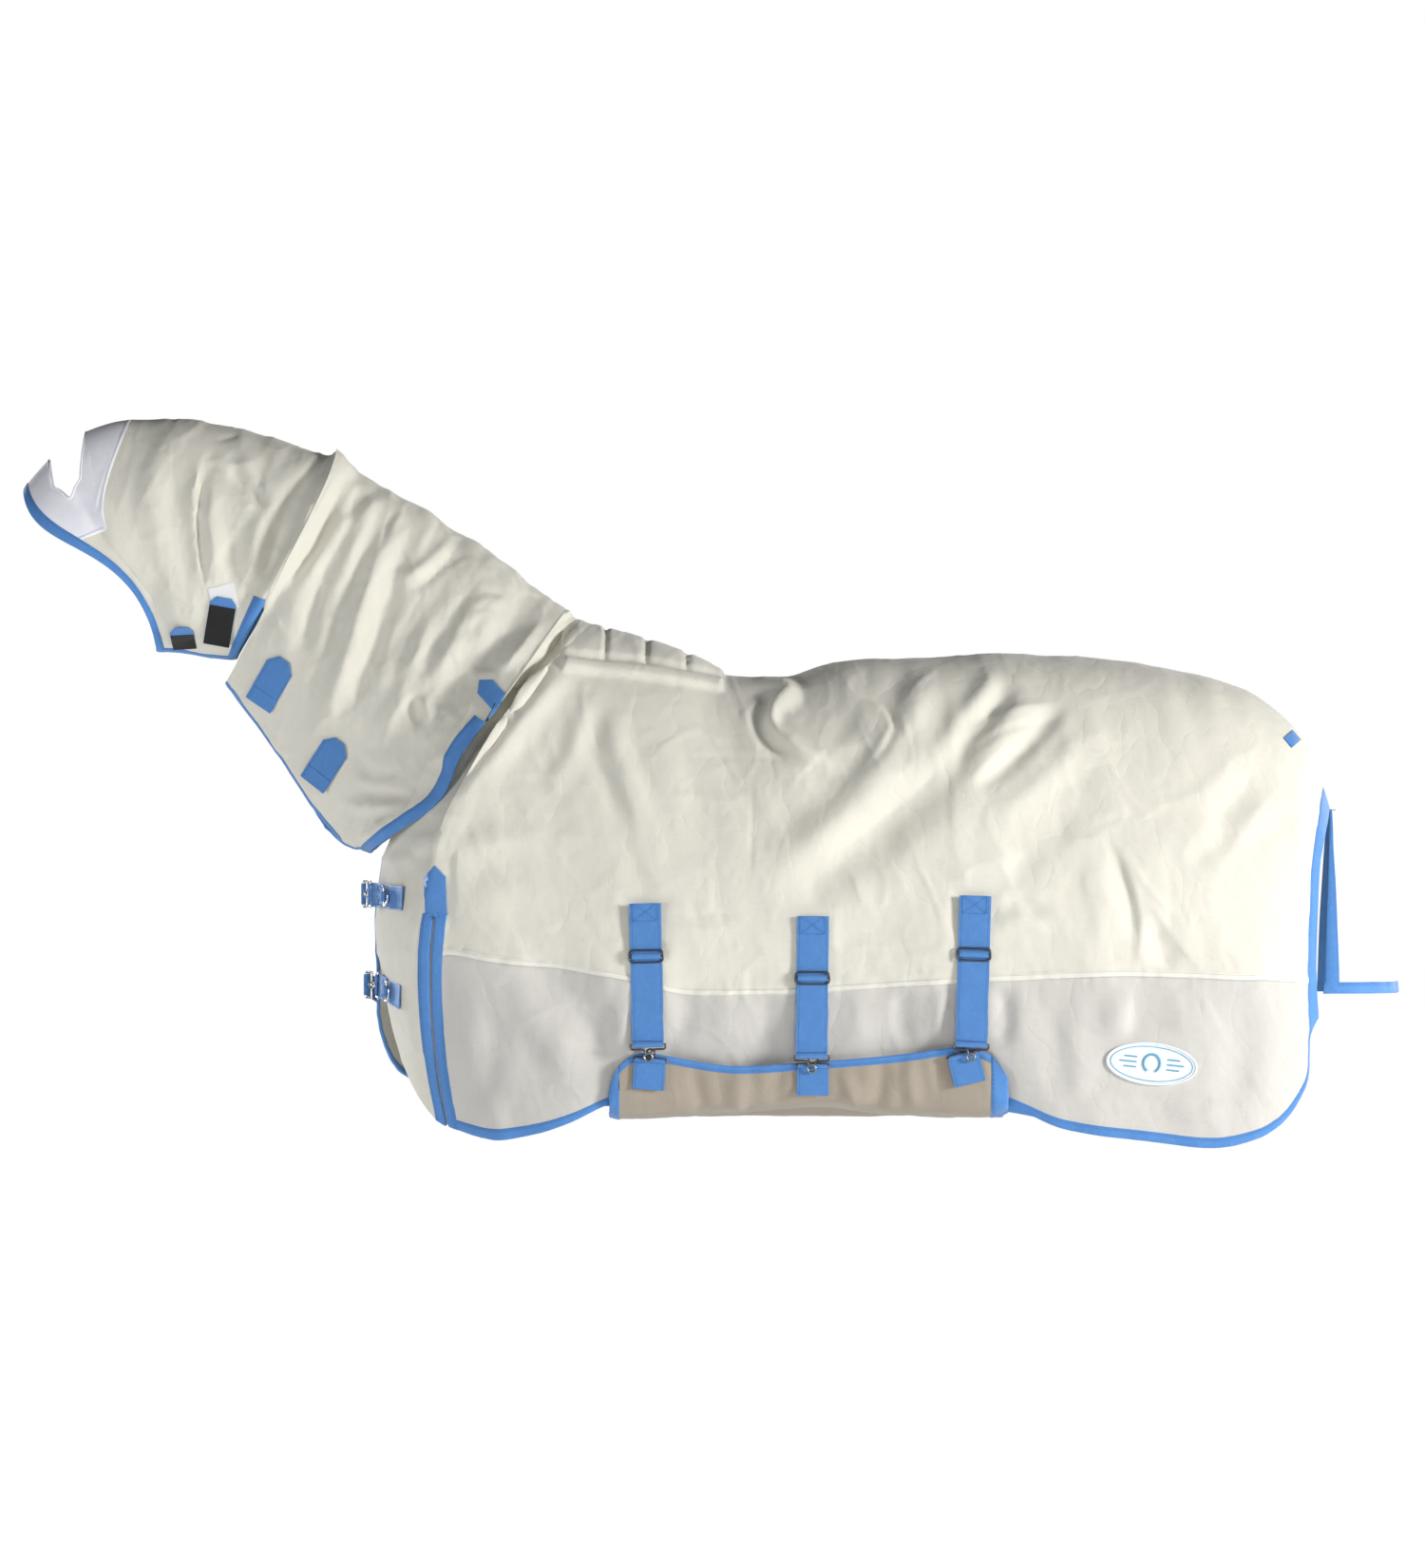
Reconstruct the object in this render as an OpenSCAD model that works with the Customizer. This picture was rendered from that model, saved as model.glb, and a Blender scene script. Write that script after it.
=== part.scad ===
// Fly sheet for a horse: body cover, neck cover and hood, belly wrap and tail flap.
// Lengths are in millimetres. +X points to the tail, -Y is the near (left) side, +Z is up.
// The origin lies on the centre line where the cover rests in the dip of the back.

/* [Cloth] */
// Thickness drawn for the mesh cloth
cloth = 4; // [3:0.5:5]
// Thickness of the pad under the withers
pad_thickness = 8; // [4:1:14]

/* [Belly straps] */
// Width of the belly strap webbing
strap_width = 50; // [44:1:52]
// Thickness of the doubled strap webbing
strap_thickness = 3; // [2:0.5:4]
// Wire thickness of the strap adjusters
adjuster_wire = 3.2; // [2.5:0.1:3.6]

/* [Chest closures] */
// Width of the chest tab webbing
chest_width = 38; // [32:1:40]
// Wire thickness of the D-rings
ring_wire = 4; // [3:0.2:4.4]

/* [Touch tape tabs] */
// Width of the neck tabs
neck_tab_width = 48; // [40:1:54]
// Length of the neck tabs
neck_tab_length = 88; // [70:1:95]

/* [View] */
// Which piece to draw, or all

/* [Hidden] */
$fn = 32;
cream = [0.93, 0.92, 0.86];
pale = [0.90, 0.89, 0.86];
beige = [0.86, 0.81, 0.74];
white = [0.96, 0.96, 0.97];
lavender = [0.92, 0.91, 0.95];
blue = [0.36, 0.60, 0.89];
black = [0.07, 0.07, 0.08];
steel = [0.80, 0.80, 0.82];
gunmetal = [0.20, 0.20, 0.22];

// Stations: top x, top z, middle x, middle z, edge x, edge z, half width, end angle.
body_near = [
  [-287, 88, -455, -75, -578, -280, 130, 174],
  [-276, 86, -462, -128, -589, -378, 172, 174],
  [-269, 84, -468, -178, -573, -478, 205, 172],
  [-265, 82, -472, -215, -557, -572, 228, 166],
  [-260, 80, -479, -238, -528, -650, 240, 150],
  [-254, 78, -488, -248, -496, -692, 244, 141],
  [-246, 76, -474, -250, -480, -702, 246, 139],
  [-240, 74, -470, -250, -476, -703, 246.5, 139],
  [-232, 72, -453, -255, -460, -709, 248, 137],
  [-205, 64, -400, -300, -395, -722, 264, 124],
  [-160, 50, -300, -325, -335, -712, 272, 120],
  [-100, 32, -205, -335, -285, -695, 278, 118],
  [-40, 8, -125, -335, -230, -668, 281, 120],
  [30, 4, -30, -325, -140, -634, 283, 128],
  [110, 18, 75, -315, 20, -632, 284, 128],
  [200, 29, 180, -310, 180, -632, 284, 128],
  [300, 31, 292, -315, 320, -636, 284, 128],
  [390, 38, 390, -325, 414, -670, 285, 120],
  [490, 36, 495, -340, 500, -706, 285, 118],
  [590, 26, 600, -350, 615, -724, 283, 116],
  [680, 11, 700, -360, 725, -736, 278, 116],
  [760, -9, 785, -365, 800, -720, 268, 118],
  [830, -48, 840, -350, 848, -682, 252, 121],
  [878, -102, 872, -335, 875, -628, 236, 125],
  [904, -168, 880, -335, 883, -560, 216, 128],
  [914, -202, 893, -345, 897, -530, 204, 130]
];
// Lower edge of the far side: edge x, edge z, end angle.
far_edge = [
  [-578, -280, 174], [-591, -385, 174], [-590, -478, 172], [-586, -552, 166],
  [-571, -604, 158], [-547, -628, 152], [-533, -633, 150], [-529, -634, 150],
  [-513, -640, 148], [-410, -664, 132], [-335, -674, 124], [-270, -678, 121],
  [-205, -678, 121], [-90, -678, 120], [50, -678, 120], [180, -678, 120],
  [310, -680, 120], [410, -688, 120], [505, -706, 118], [615, -724, 116],
  [725, -736, 116], [800, -720, 118], [848, -682, 121], [875, -628, 125],
  [883, -560, 128], [897, -530, 130]
];
body_far = [
  for (i = [0:25])
    let (s = body_near[i], e = far_edge[i])
    [s[0], s[1], s[2], s[3], e[0], e[1], s[6], e[2]]
];
// Height of the sideways seam between side panel and skirt, from the shoulder to the rear.
seam_z = [
  -428, -436, -446, -460, -474, -491, -490, -482, -473,
  -468, -463, -460, -463, -466, -469, -471, -472, -472
];
neck_stations = [
  [-651, 357, -716, 212, -829, -2, 112, 172],
  [-615, 320, -692, 150, -795, -48, 116, 172],
  [-560, 290, -650, 92, -748, -110, 122, 172],
  [-500, 252, -600, 40, -704, -178, 134, 172, 0, 0, 4],
  [-435, 212, -542, -10, -664, -234, 147, 172, 0, 0, 12],
  [-372, 166, -492, -58, -637, -258, 168, 172, 0, 0, 24],
  [-306, 119, -463, -92, -618, -262, 200, 172, 0, 0, 30],
  [-293, 109, -445, -104, -600, -268, 212, 172, 0, 0, 31]
];
// The neck stations end with the bulge of the lower part of the curve, in x.
// The hood stations end with a sideways and upward bend of the curve between top and edge.
hood_stations = [
  [-1149, 300, -1056, 204, -940, 52, 92, 172, -14, -18],
  [-1142, 312, -1045, 215, -927, 50, 93, 172, -12, -17],
  [-1110, 348, -1038, 218, -920, 49.5, 94, 172, -10, -21],
  [-1082, 374, -1031, 221, -913, 49, 95, 172, -8, -24],
  [-1052, 392, -1024, 224, -906, 48.5, 96, 172, -7, -26],
  [-985, 410, -1014, 228, -896, 47, 98, 172, -6, -28],
  [-905, 411, -935, 232, -880, 45, 101, 172, -2, -4],
  [-825, 400, -860, 228, -864, 42, 104, 172, 0, 0],
  [-740, 374, -795, 226, -843, 40, 107, 172, 0, 0],
  [-668, 352, -742, 222, -829, 39, 110, 172, 0, 0],
  [-656, 361, -726, 220, -815, 40, 111, 172, 0, 0]
];
fold = 0.7;
hem = 0.972;

// A point on the cover at part v of the way from the spine to the edge.
function bend(s, k) = s[k] == undef ? 0 : s[k];
function through(a, m, b, h) = a * (1 - h) * (1 - 2 * h) + m * 4 * h * (1 - h) + b * h * (2 * h - 1);
function drop(s, v) = (1 - cos(v * s[7])) / (1 - cos(s[7]));
function bulge(h) = h > 0.5 ? pow(sin(360 * (h - 0.5)), 2) : 0;
function spot(s, v) =
  let (h = drop(s, v), k = 10.4 * h * (1 - h) * (1 - 2 * h))
  [
    through(s[0], s[2], s[4], h) + k * bend(s, 8) + bulge(h) * bend(s, 10),
    -s[6] * pow(max(sin(v * s[7]), 0), fold),
    through(s[1], s[3], s[5], h) + k * bend(s, 9)
  ];
function unit(a) = a / norm(a);
function outward(st, i, v) =
  let (
    n = len(st) - 1,
    across = spot(st[min(i + 1, n)], v) - spot(st[max(i - 1, 0)], v),
    down = spot(st[i], min(v + 0.01, 1)) - spot(st[i], max(v - 0.01, 0)),
    c = cross(down, across)
  )
  unit([c[0], v == 0 ? 0 : c[1], c[2]]);
function on_cover(st, i, v, lift) = spot(st[i], v) + lift * outward(st, i, v);
// Part of the way down at which station s reaches height z.
function at_height(s, z) =
  let (
    a = 2 * s[1] - 4 * s[3] + 2 * s[5],
    b = -3 * s[1] + 4 * s[3] - s[5],
    c = s[1] - z,
    h = 2 * c / (-b + sqrt(b * b - 4 * a * c))
  )
  acos(1 - h * (1 - cos(s[7]))) / s[7];

// Grid lines of the body, neck and hood cloth.
function body_lines(st) = [
  for (i = [0:25])
    let (s = i < 8 ? 0.79 : at_height(st[i], seam_z[i - 8]))
    [0, 0.08, 0.19, 0.31, 0.44, 0.57, 0.70, (0.70 + s) / 2, s,
     s + (hem - s) / 3, s + (hem - s) * 2 / 3, hem, 1]
];
near_lines = body_lines(body_near);
far_lines = body_lines(body_far);
neck_lines = [for (i = [0:7]) [0, 0.12, 0.24, 0.36, 0.46, 0.58, 0.70, 0.82, 0.962, 1]];
ear_top = [0.11, 0.11, 0.14, 0.09, 0.12, 0.11];
ear_low = [0.28, 0.28, 0.23, 0.32, 0.27, 0.30];
hood_lines = [
  for (i = [0:10])
    let (a = i < 6 ? ear_top[i] : 0.11, b = i < 6 ? ear_low[i] : 0.30)
    [0, a, (a + b) / 2, b, 0.485, 0.6, 0.7, 0.82, 0.955, 1]
];

// Cloth made of grid cells; each entry of cells is first and last column, first and last row.
module sheet(st, lines, cells, low, high) {
  nc = len(st);
  nr = len(lines[0]);
  function at(i, j, k) = k * nc * nr + i * nr + j;
  function used(i, j) =
    len([for (c = cells) if (i >= c[0] && i < c[1] && j >= c[2] && j < c[3]) 1]) > 0;
  function walls(i, j) = [
    for (k = [[i, j - 1, 0], [i, j + 1, 1], [i - 1, j, 2], [i + 1, j, 3]])
      if (!used(k[0], k[1])) k[2]
  ];
  function wall(i, j, w) =
    w == 0 ? [[at(i + 1, j, 1), at(i, j, 1), at(i, j, 0)],
              [at(i + 1, j, 1), at(i, j, 0), at(i + 1, j, 0)]] :
    w == 1 ? [[at(i, j + 1, 1), at(i + 1, j + 1, 1), at(i, j + 1, 0)],
              [at(i + 1, j + 1, 1), at(i + 1, j + 1, 0), at(i, j + 1, 0)]] :
    w == 2 ? [[at(i, j, 1), at(i, j + 1, 1), at(i, j, 0)],
              [at(i, j + 1, 1), at(i, j + 1, 0), at(i, j, 0)]] :
             [[at(i + 1, j + 1, 1), at(i + 1, j, 1), at(i + 1, j, 0)],
              [at(i + 1, j + 1, 1), at(i + 1, j, 0), at(i + 1, j + 1, 0)]];
  points = [
    for (lift = [low, high])
      for (i = [0:nc - 1])
        for (j = [0:nr - 1])
          on_cover(st, i, lines[i][j], lift)
  ];
  faces = [
    for (i = [0:nc - 2])
      for (j = [0:nr - 2])
        if (used(i, j))
          each concat(
            [[at(i, j, 1), at(i + 1, j, 1), at(i + 1, j + 1, 1)],
             [at(i, j, 1), at(i + 1, j + 1, 1), at(i, j + 1, 1)],
             [at(i, j, 0), at(i + 1, j + 1, 0), at(i + 1, j, 0)],
             [at(i, j, 0), at(i, j + 1, 0), at(i + 1, j + 1, 0)]],
            [for (w = walls(i, j)) each wall(i, j, w)]
          )
  ];
  polyhedron(points, faces);
}
module near_sheet(cells, low = 0, high = cloth) {
  sheet(body_near, near_lines, cells, low, high);
}
module far_sheet(cells, low = 0, high = cloth) {
  mirror([0, 1, 0]) sheet(body_far, far_lines, cells, low, high);
}
module neck_sheet(cells) {
  sheet(neck_stations, neck_lines, cells, 0, cloth);
}
module hood_sheet(cells) {
  sheet(hood_stations, hood_lines, cells, 0, cloth);
}
module both_sides() {
  children();
  mirror([0, 1, 0]) children();
}
// Places a flat plate, drawn in x and z with its back at y = 0, on the cover.
module stitched(st, i, v, lift, lean) {
  n = outward(st, i, v);
  translate(on_cover(st, i, v, lift))
    rotate([-asin(n[2]), 0, atan2(n[0], -n[1])])
      rotate([0, lean, 0])
        children();
}
module plate(thick) {
  rotate([90, 0, 0])
    linear_extrude(thick)
      children();
}
module slab(w, h, t) {
  translate([-w / 2, -t, -h]) cube([w, t, h]);
}

// Cloth panels of the body.
side_cells = [[0, 24, 0, 6], [8, 24, 6, 8]];
skirt_cells = [[8, 24, 8, 11]];
module side_panel_near() {
  color(cream) near_sheet(side_cells);
}
module side_panel_far() {
  color(cream) far_sheet(side_cells);
}
module skirt_panel_near() {
  color(pale) near_sheet(skirt_cells);
}
module skirt_panel_far() {
  color(pale) far_sheet(skirt_cells);
}
module chest_flap_near() {
  color(cream) near_sheet([[0, 5, 6, 12]]);
}
module chest_flap_far() {
  color(cream) far_sheet([[0, 5, 6, 11]]);
}
module hem_binding_near() {
  color(blue) near_sheet([[8, 24, 11, 12]]);
}
module hem_binding_far() {
  color(blue) {
    far_sheet([[8, 24, 11, 12]]);
    far_sheet([[0, 5, 11, 12]]);
  }
}
module rear_binding() {
  color(blue) {
    near_sheet([[24, 25, 0, 12]]);
    far_sheet([[24, 25, 0, 12]]);
  }
}
module gusset_binding() {
  color(blue) {
    near_sheet([[5, 6, 6, 12]]);
    near_sheet([[7, 8, 6, 12]]);
    far_sheet([[5, 6, 6, 12]]);
    far_sheet([[7, 8, 6, 12]]);
  }
}
module shoulder_gusset() {
  color(cream) {
    near_sheet([[5, 8, 6, 12]], -3, -0.6);
    far_sheet([[5, 8, 6, 12]], -3, -0.6);
  }
}
module gusset_cap() {
  color(blue)
    both_sides()
      stitched(body_near, 6, at_height(body_near[6], -328), cloth + 1.4, 0)
        plate(2.4)
          polygon([[-17, -33], [17, -33], [17, 18], [0, 36], [-17, 18]]);
}
module wither_pad() {
  color(white) {
    near_sheet([[9, 13, 0, 2]], -pad_thickness, 0);
    far_sheet([[9, 13, 0, 2]], -pad_thickness, 0);
  }
}
module rump_patch() {
  color(blue)
    stitched(body_near, 22, 0.235, cloth + 1, 40)
      plate(1.6)
        square(20, center = true);
}
module badge() {
  color(white)
    stitched(body_near, 19, at_height(body_near[19], -603), cloth + 1.2, 6)
      plate(2) {
        square([80, 65], center = true);
        translate([-40, 0]) circle(32.5);
        translate([40, 0]) circle(32.5);
      }
}

// Neck cover and hood.
module neck_panel_near() {
  color(cream) neck_sheet([[0, 6, 0, 8], [6, 7, 0, 4]]);
}
module neck_panel_far() {
  color(cream) mirror([0, 1, 0]) neck_sheet([[0, 6, 0, 8], [6, 7, 0, 4]]);
}
module neck_binding() {
  color(blue) both_sides() neck_sheet([[0, 7, 8, 9], [6, 7, 4, 9]]);
}
module neck_cap() {
  color(blue)
    both_sides()
      stitched(neck_stations, 6, 0.455, cloth + 2, 42)
        plate(2.4)
          polygon([[-16, -32], [16, -32], [16, 18], [0, 32], [-16, 18]]);
}
module hood_panel_near() {
  color(cream) hood_sheet([[1, 5, 4, 8], [5, 9, 0, 8], [9, 10, 0, 6]]);
}
module hood_panel_far() {
  color(cream) mirror([0, 1, 0]) hood_sheet([[1, 5, 4, 8], [5, 9, 0, 8], [9, 10, 0, 6]]);
}
module ear_panel() {
  color(lavender) both_sides() hood_sheet([[1, 2, 0, 4], [2, 4, 3, 4], [4, 5, 0, 4]]);
}
module hood_binding() {
  color(blue) both_sides() hood_sheet([[0, 1, 0, 9], [1, 10, 8, 9], [9, 10, 6, 9]]);
}

// Belly straps. Each entry: x, y of the strap back, z of the top, z of the adjuster,
// z of the hook bar, sideways lean, inward lean.
straps = [
  [-166, -286.6, -351, -434, -573, -1.2, 0],
  [98, -291.2, -371, -468, -591, 0.6, 2.4],
  [353, -292, -339, -431, -573, 1.6, 0]
];
top_height = 38;
module on_strap(k) {
  s = straps[k];
  translate([s[0], s[1], s[2]])
    rotate([s[6], s[5], 0])
      children();
}
module strap_tops() {
  color(blue)
    for (k = [0:2])
      on_strap(k) slab(strap_width, top_height, strap_thickness);
}
module strap(k) {
  length = straps[k][2] - straps[k][4];
  color(blue)
    on_strap(k) {
      difference() {
        union() {
          translate([0, 0, -top_height - 1]) slab(strap_width, length - top_height - 1, strap_thickness);
          translate([-strap_width / 2 + 1, -3.2, -length])
            rotate([0, 90, 0])
              cylinder(r = 4.4, h = strap_width - 2);
        }
        translate([-strap_width / 2 - 1, -3.2, -length])
          rotate([0, 90, 0])
            cylinder(r = 2.7, h = strap_width + 2);
      }
    }
}
module strap_1() {
  strap(0);
}
module strap_2() {
  strap(1);
}
module strap_3() {
  strap(2);
}
// Flat three-bar slide standing in front of the strap.
module adjuster(k) {
  w = adjuster_wire;
  half = 9.5;
  reach = strap_width / 2 + 1.6;
  front = -strap_thickness - 0.6 - w / 2;
  color(gunmetal)
    on_strap(k)
      translate([0, front, straps[k][3] - straps[k][2]]) {
        for (z = [-half, half])
          translate([-reach + half / 2, 0, z]) rotate([0, 90, 0]) cylinder(d = w, h = 2 * reach - half);
        for (a = [-1, 1]) {
          for (z = [-1, 1])
            translate([a * (reach - half / 2), 0, z * half / 2])
              rotate([90, 0, 0])
                rotate([0, 0, a > 0 ? (z > 0 ? 0 : -90) : (z > 0 ? 90 : 180)])
                  rotate_extrude(angle = 90)
                    translate([half / 2, 0]) circle(d = w);
          translate([a * reach, 0, -half / 2]) cylinder(d = w, h = half);
        }
        translate([-reach, 0, 0]) rotate([0, 90, 0]) cylinder(d = w, h = 2 * reach);
      }
}
module adjuster_1() {
  adjuster(0);
}
module adjuster_2() {
  adjuster(1);
}
module adjuster_3() {
  adjuster(2);
}
// Turn of webbing round the centre bar of the adjuster.
module adjuster_roll(k) {
  front = -strap_thickness - 0.6 - adjuster_wire / 2;
  color(blue)
    on_strap(k)
      translate([0, front, straps[k][3] - straps[k][2]])
        intersection() {
          difference() {
            translate([-strap_width / 2 + 2.6, 0, 0]) rotate([0, 90, 0]) cylinder(r = 5.4, h = strap_width - 5.2);
            translate([-strap_width / 2, 0, 0])
              rotate([0, 90, 0])
                cylinder(r = adjuster_wire / 2 + 0.1, h = strap_width);
          }
          translate([-strap_width / 2, -10, -6]) cube([strap_width, 10 + adjuster_wire / 2, 12]);
        }
}
module adjuster_roll_1() {
  adjuster_roll(0);
}
module adjuster_roll_2() {
  adjuster_roll(1);
}
module adjuster_roll_3() {
  adjuster_roll(2);
}
// Hook half of the belly fastener: a bar in the strap end and a drop with a round head.
module t_hook(k) {
  length = straps[k][2] - straps[k][4];
  color(gunmetal)
    on_strap(k)
      translate([0, -3.2, -length]) {
        translate([-28.6, 0, 0]) rotate([0, 90, 0]) cylinder(r = 2, h = 57.2);
        for (a = [-1, 1]) {
          translate([a * 27, 0, -3]) cube([3.2, 4, 11], center = true);
          translate([a * 16.5, 0, -7.4]) cube([24, 3, 3], center = true);
          translate([a * 5.5, 0, -12]) cube([3, 3, 12], center = true);
        }
        difference() {
          translate([0, 1.5, -19.5]) rotate([90, 0, 0]) cylinder(r = 8, h = 3);
          translate([0, 2.5, -19.5]) rotate([90, 0, 0]) cylinder(r = 4.5, h = 5);
        }
      }
}
module t_hook_1() {
  t_hook(0);
}
module t_hook_2() {
  t_hook(1);
}
module t_hook_3() {
  t_hook(2);
}

// Belly wrap. Stations: x, near top z, near front y.
wrap_x = [-222, -206, -165, -20, 100, 225, 330, 378, 404];
wrap_top = [-648, -606, -586, -607, -600, -590, -577, -590, -626];
wrap_y = [-271, -278, -276, -271, -272, -273, -281, -283, -279];
wrap_low = [-682, -685, -684, -675, -666, -678, -682, -682, -676];
// Cross-section points from the near top round the belly to the far hem.
function wrap_path(i) =
  let (y = wrap_y[i], t = wrap_top[i], b = wrap_low[i], m = min(t, -628) - 14)
  [
    [y, t], [y + 0.5, t - 12], [y + 1, m], [y + 10, max(m - 22, b + 10)], [y + 30, b + 3], [y + 75, b - 2],
    [-90, b - 4],
    [0, b - 5], [90, b - 5], [150, b - 4], [200, -690], [225, -687], [240, -686]
  ];
function wrap_normal(p, j) =
  let (n = len(p) - 1, d = p[min(j + 1, n)] - p[max(j - 1, 0)])
  [d[1], -d[0]] / norm(d);
module wrap_sheet(c0, c1, r0, r1) {
  nr = 13;
  nc = 9;
  function at(i, j, k) = k * nc * nr + i * nr + j;
  function used(i, j) = i >= c0 && i < c1 && j >= r0 && j < r1;
  points = [
    for (k = [0, 1])
      for (i = [0:nc - 1])
        let (p = wrap_path(i))
        for (j = [0:nr - 1])
          let (q = p[j] + (k == 0 ? 0 : cloth) * wrap_normal(p, j))
          [wrap_x[i], q[0], q[1]]
  ];
  faces = [
    for (i = [c0:c1 - 1])
      for (j = [r0:r1 - 1])
        each concat(
          [[at(i, j, 1), at(i + 1, j, 1), at(i + 1, j + 1, 1)],
           [at(i, j, 1), at(i + 1, j + 1, 1), at(i, j + 1, 1)],
           [at(i, j, 0), at(i + 1, j + 1, 0), at(i + 1, j, 0)],
           [at(i, j, 0), at(i, j + 1, 0), at(i + 1, j + 1, 0)]],
          used(i, j - 1) ? [] : [[at(i + 1, j, 1), at(i, j, 1), at(i, j, 0)],
                                 [at(i + 1, j, 1), at(i, j, 0), at(i + 1, j, 0)]],
          used(i, j + 1) ? [] : [[at(i, j + 1, 1), at(i + 1, j + 1, 1), at(i, j + 1, 0)],
                                 [at(i + 1, j + 1, 1), at(i + 1, j + 1, 0), at(i, j + 1, 0)]],
          used(i - 1, j) ? [] : [[at(i, j, 1), at(i, j + 1, 1), at(i, j, 0)],
                                 [at(i, j + 1, 1), at(i, j + 1, 0), at(i, j, 0)]],
          used(i + 1, j) ? [] : [[at(i + 1, j + 1, 1), at(i + 1, j, 1), at(i + 1, j, 0)],
                                 [at(i + 1, j + 1, 1), at(i + 1, j, 0), at(i + 1, j + 1, 0)]]
        )
  ];
  polyhedron(points, faces);
}
module belly_wrap() {
  color(beige) wrap_sheet(1, 7, 1, 12);
}
module belly_wrap_binding() {
  color(blue) {
    wrap_sheet(1, 7, 0, 1);
    wrap_sheet(0, 1, 0, 12);
    wrap_sheet(7, 8, 0, 12);
  }
}
// Catch half of the belly fasteners: x, y of the tab back, z of the bar, lean.
catches = [
  [-158, -282.8, -598, 4],
  [98, -277.4, -607, 1],
  [334, -287.4, -590, -14]
];
module on_catch(k) {
  c = catches[k];
  translate([c[0], c[1], c[2]])
    rotate([0, c[3], 0])
      children();
}
module wrap_tabs() {
  color(blue)
    for (k = [0:2])
      on_catch(k)
        translate([0, 0, -2]) slab(strap_width, 46, 2.4);
}
module slot_plates() {
  color(gunmetal)
    for (k = [0:2])
      on_catch(k) {
        translate([-27, -1.4, 0]) rotate([0, 90, 0]) cylinder(r = 1.8, h = 54);
        translate([-9, -2.9, 2]) cube([18, 3, 4]);
        difference() {
          translate([0, 0.2, 11]) rotate([90, 0, 0]) cylinder(r = 9, h = 3);
          translate([0, 1, 11]) rotate([90, 0, 0]) cylinder(r = 5, h = 5);
        }
      }
}

// Tail flap. Stations down the flap: z, rear x, edge x, half width.
flap_rows = [
  [-206, 930, 917, 60],
  [-255, 946, 914, 92],
  [-315, 971, 911, 122],
  [-375, 994, 908, 142],
  [-435, 1012, 906, 154],
  [-476, 1021, 905, 159],
  [-494, 1023, 904, 160]
];
flap_turns = [-90, -82, -66, -48, -28, -9, 9, 28, 48, 66, 82, 90];
function flap_spot(r, a) = [r[2] + (r[1] - r[2]) * pow(max(cos(a), 0), 0.8), r[3] * sin(a), r[0]];
function flap_out(i, j) =
  let (
    across = flap_spot(flap_rows[i], flap_turns[min(j + 1, 11)]) - flap_spot(flap_rows[i], flap_turns[max(j - 1, 0)]),
    down = flap_spot(flap_rows[min(i + 1, 6)], flap_turns[j]) - flap_spot(flap_rows[max(i - 1, 0)], flap_turns[j])
  )
  unit(cross(down, across));
module flap_sheet(cells) {
  nr = 7;
  nc = 12;
  function at(i, j, k) = k * nc * nr + j * nr + i;
  function used(j, i) =
    len([for (c = cells) if (j >= c[0] && j < c[1] && i >= c[2] && i < c[3]) 1]) > 0;
  points = [
    for (k = [0, 1])
      for (j = [0:nc - 1])
        for (i = [0:nr - 1])
          flap_spot(flap_rows[i], flap_turns[j]) + (k == 0 ? 0 : cloth) * flap_out(i, j)
  ];
  faces = [
    for (j = [0:nc - 2])
      for (i = [0:nr - 2])
        if (used(j, i))
          each concat(
            [[at(i, j, 1), at(i, j + 1, 1), at(i + 1, j + 1, 1)],
             [at(i, j, 1), at(i + 1, j + 1, 1), at(i + 1, j, 1)],
             [at(i, j, 0), at(i + 1, j + 1, 0), at(i, j + 1, 0)],
             [at(i, j, 0), at(i + 1, j, 0), at(i + 1, j + 1, 0)]],
            used(j, i - 1) ? [] : [[at(i, j + 1, 1), at(i, j, 1), at(i, j, 0)],
                                   [at(i, j + 1, 1), at(i, j, 0), at(i, j + 1, 0)]],
            used(j, i + 1) ? [] : [[at(i + 1, j, 1), at(i + 1, j + 1, 1), at(i + 1, j, 0)],
                                   [at(i + 1, j + 1, 1), at(i + 1, j + 1, 0), at(i + 1, j, 0)]],
            used(j - 1, i) ? [] : [[at(i, j, 1), at(i + 1, j, 1), at(i, j, 0)],
                                   [at(i + 1, j, 1), at(i + 1, j, 0), at(i, j, 0)]],
            used(j + 1, i) ? [] : [[at(i + 1, j + 1, 1), at(i, j + 1, 1), at(i, j + 1, 0)],
                                   [at(i + 1, j + 1, 1), at(i, j + 1, 0), at(i + 1, j + 1, 0)]]
          )
  ];
  polyhedron(points, faces);
}
module tail_flap() {
  color(white) flap_sheet([[1, 10, 0, 5]]);
}
module tail_flap_binding() {
  color(blue) flap_sheet([[0, 1, 0, 6], [10, 11, 0, 6], [1, 10, 5, 6]]);
}

// Chest closures. Each entry: x, y, z of the near tab's front end, its turn, x, y and turn
// of the far tab's front end, slope of the tabs.
closures = [
  [-597, -74, -338, -65, -609.3, 38, -70, 3],
  [-585.4, -74, -482, -73, -605.4, 38, -78, 9]
];
tab_length = 118;
bow = (chest_width - 4) / 2 + ring_wire / 2 + 1;
function loop_at(x, y, turn) = [x - 2 * cos(turn) + 3.6 * sin(turn), y - 2 * sin(turn) - 3.6 * cos(turn)];
function near_loop(k) = loop_at(closures[k][0], closures[k][1], closures[k][3]);
function far_loop(k) =
  let (p = loop_at(closures[k][4], -closures[k][5], closures[k][6]))
  [p[0], -p[1]];
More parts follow.
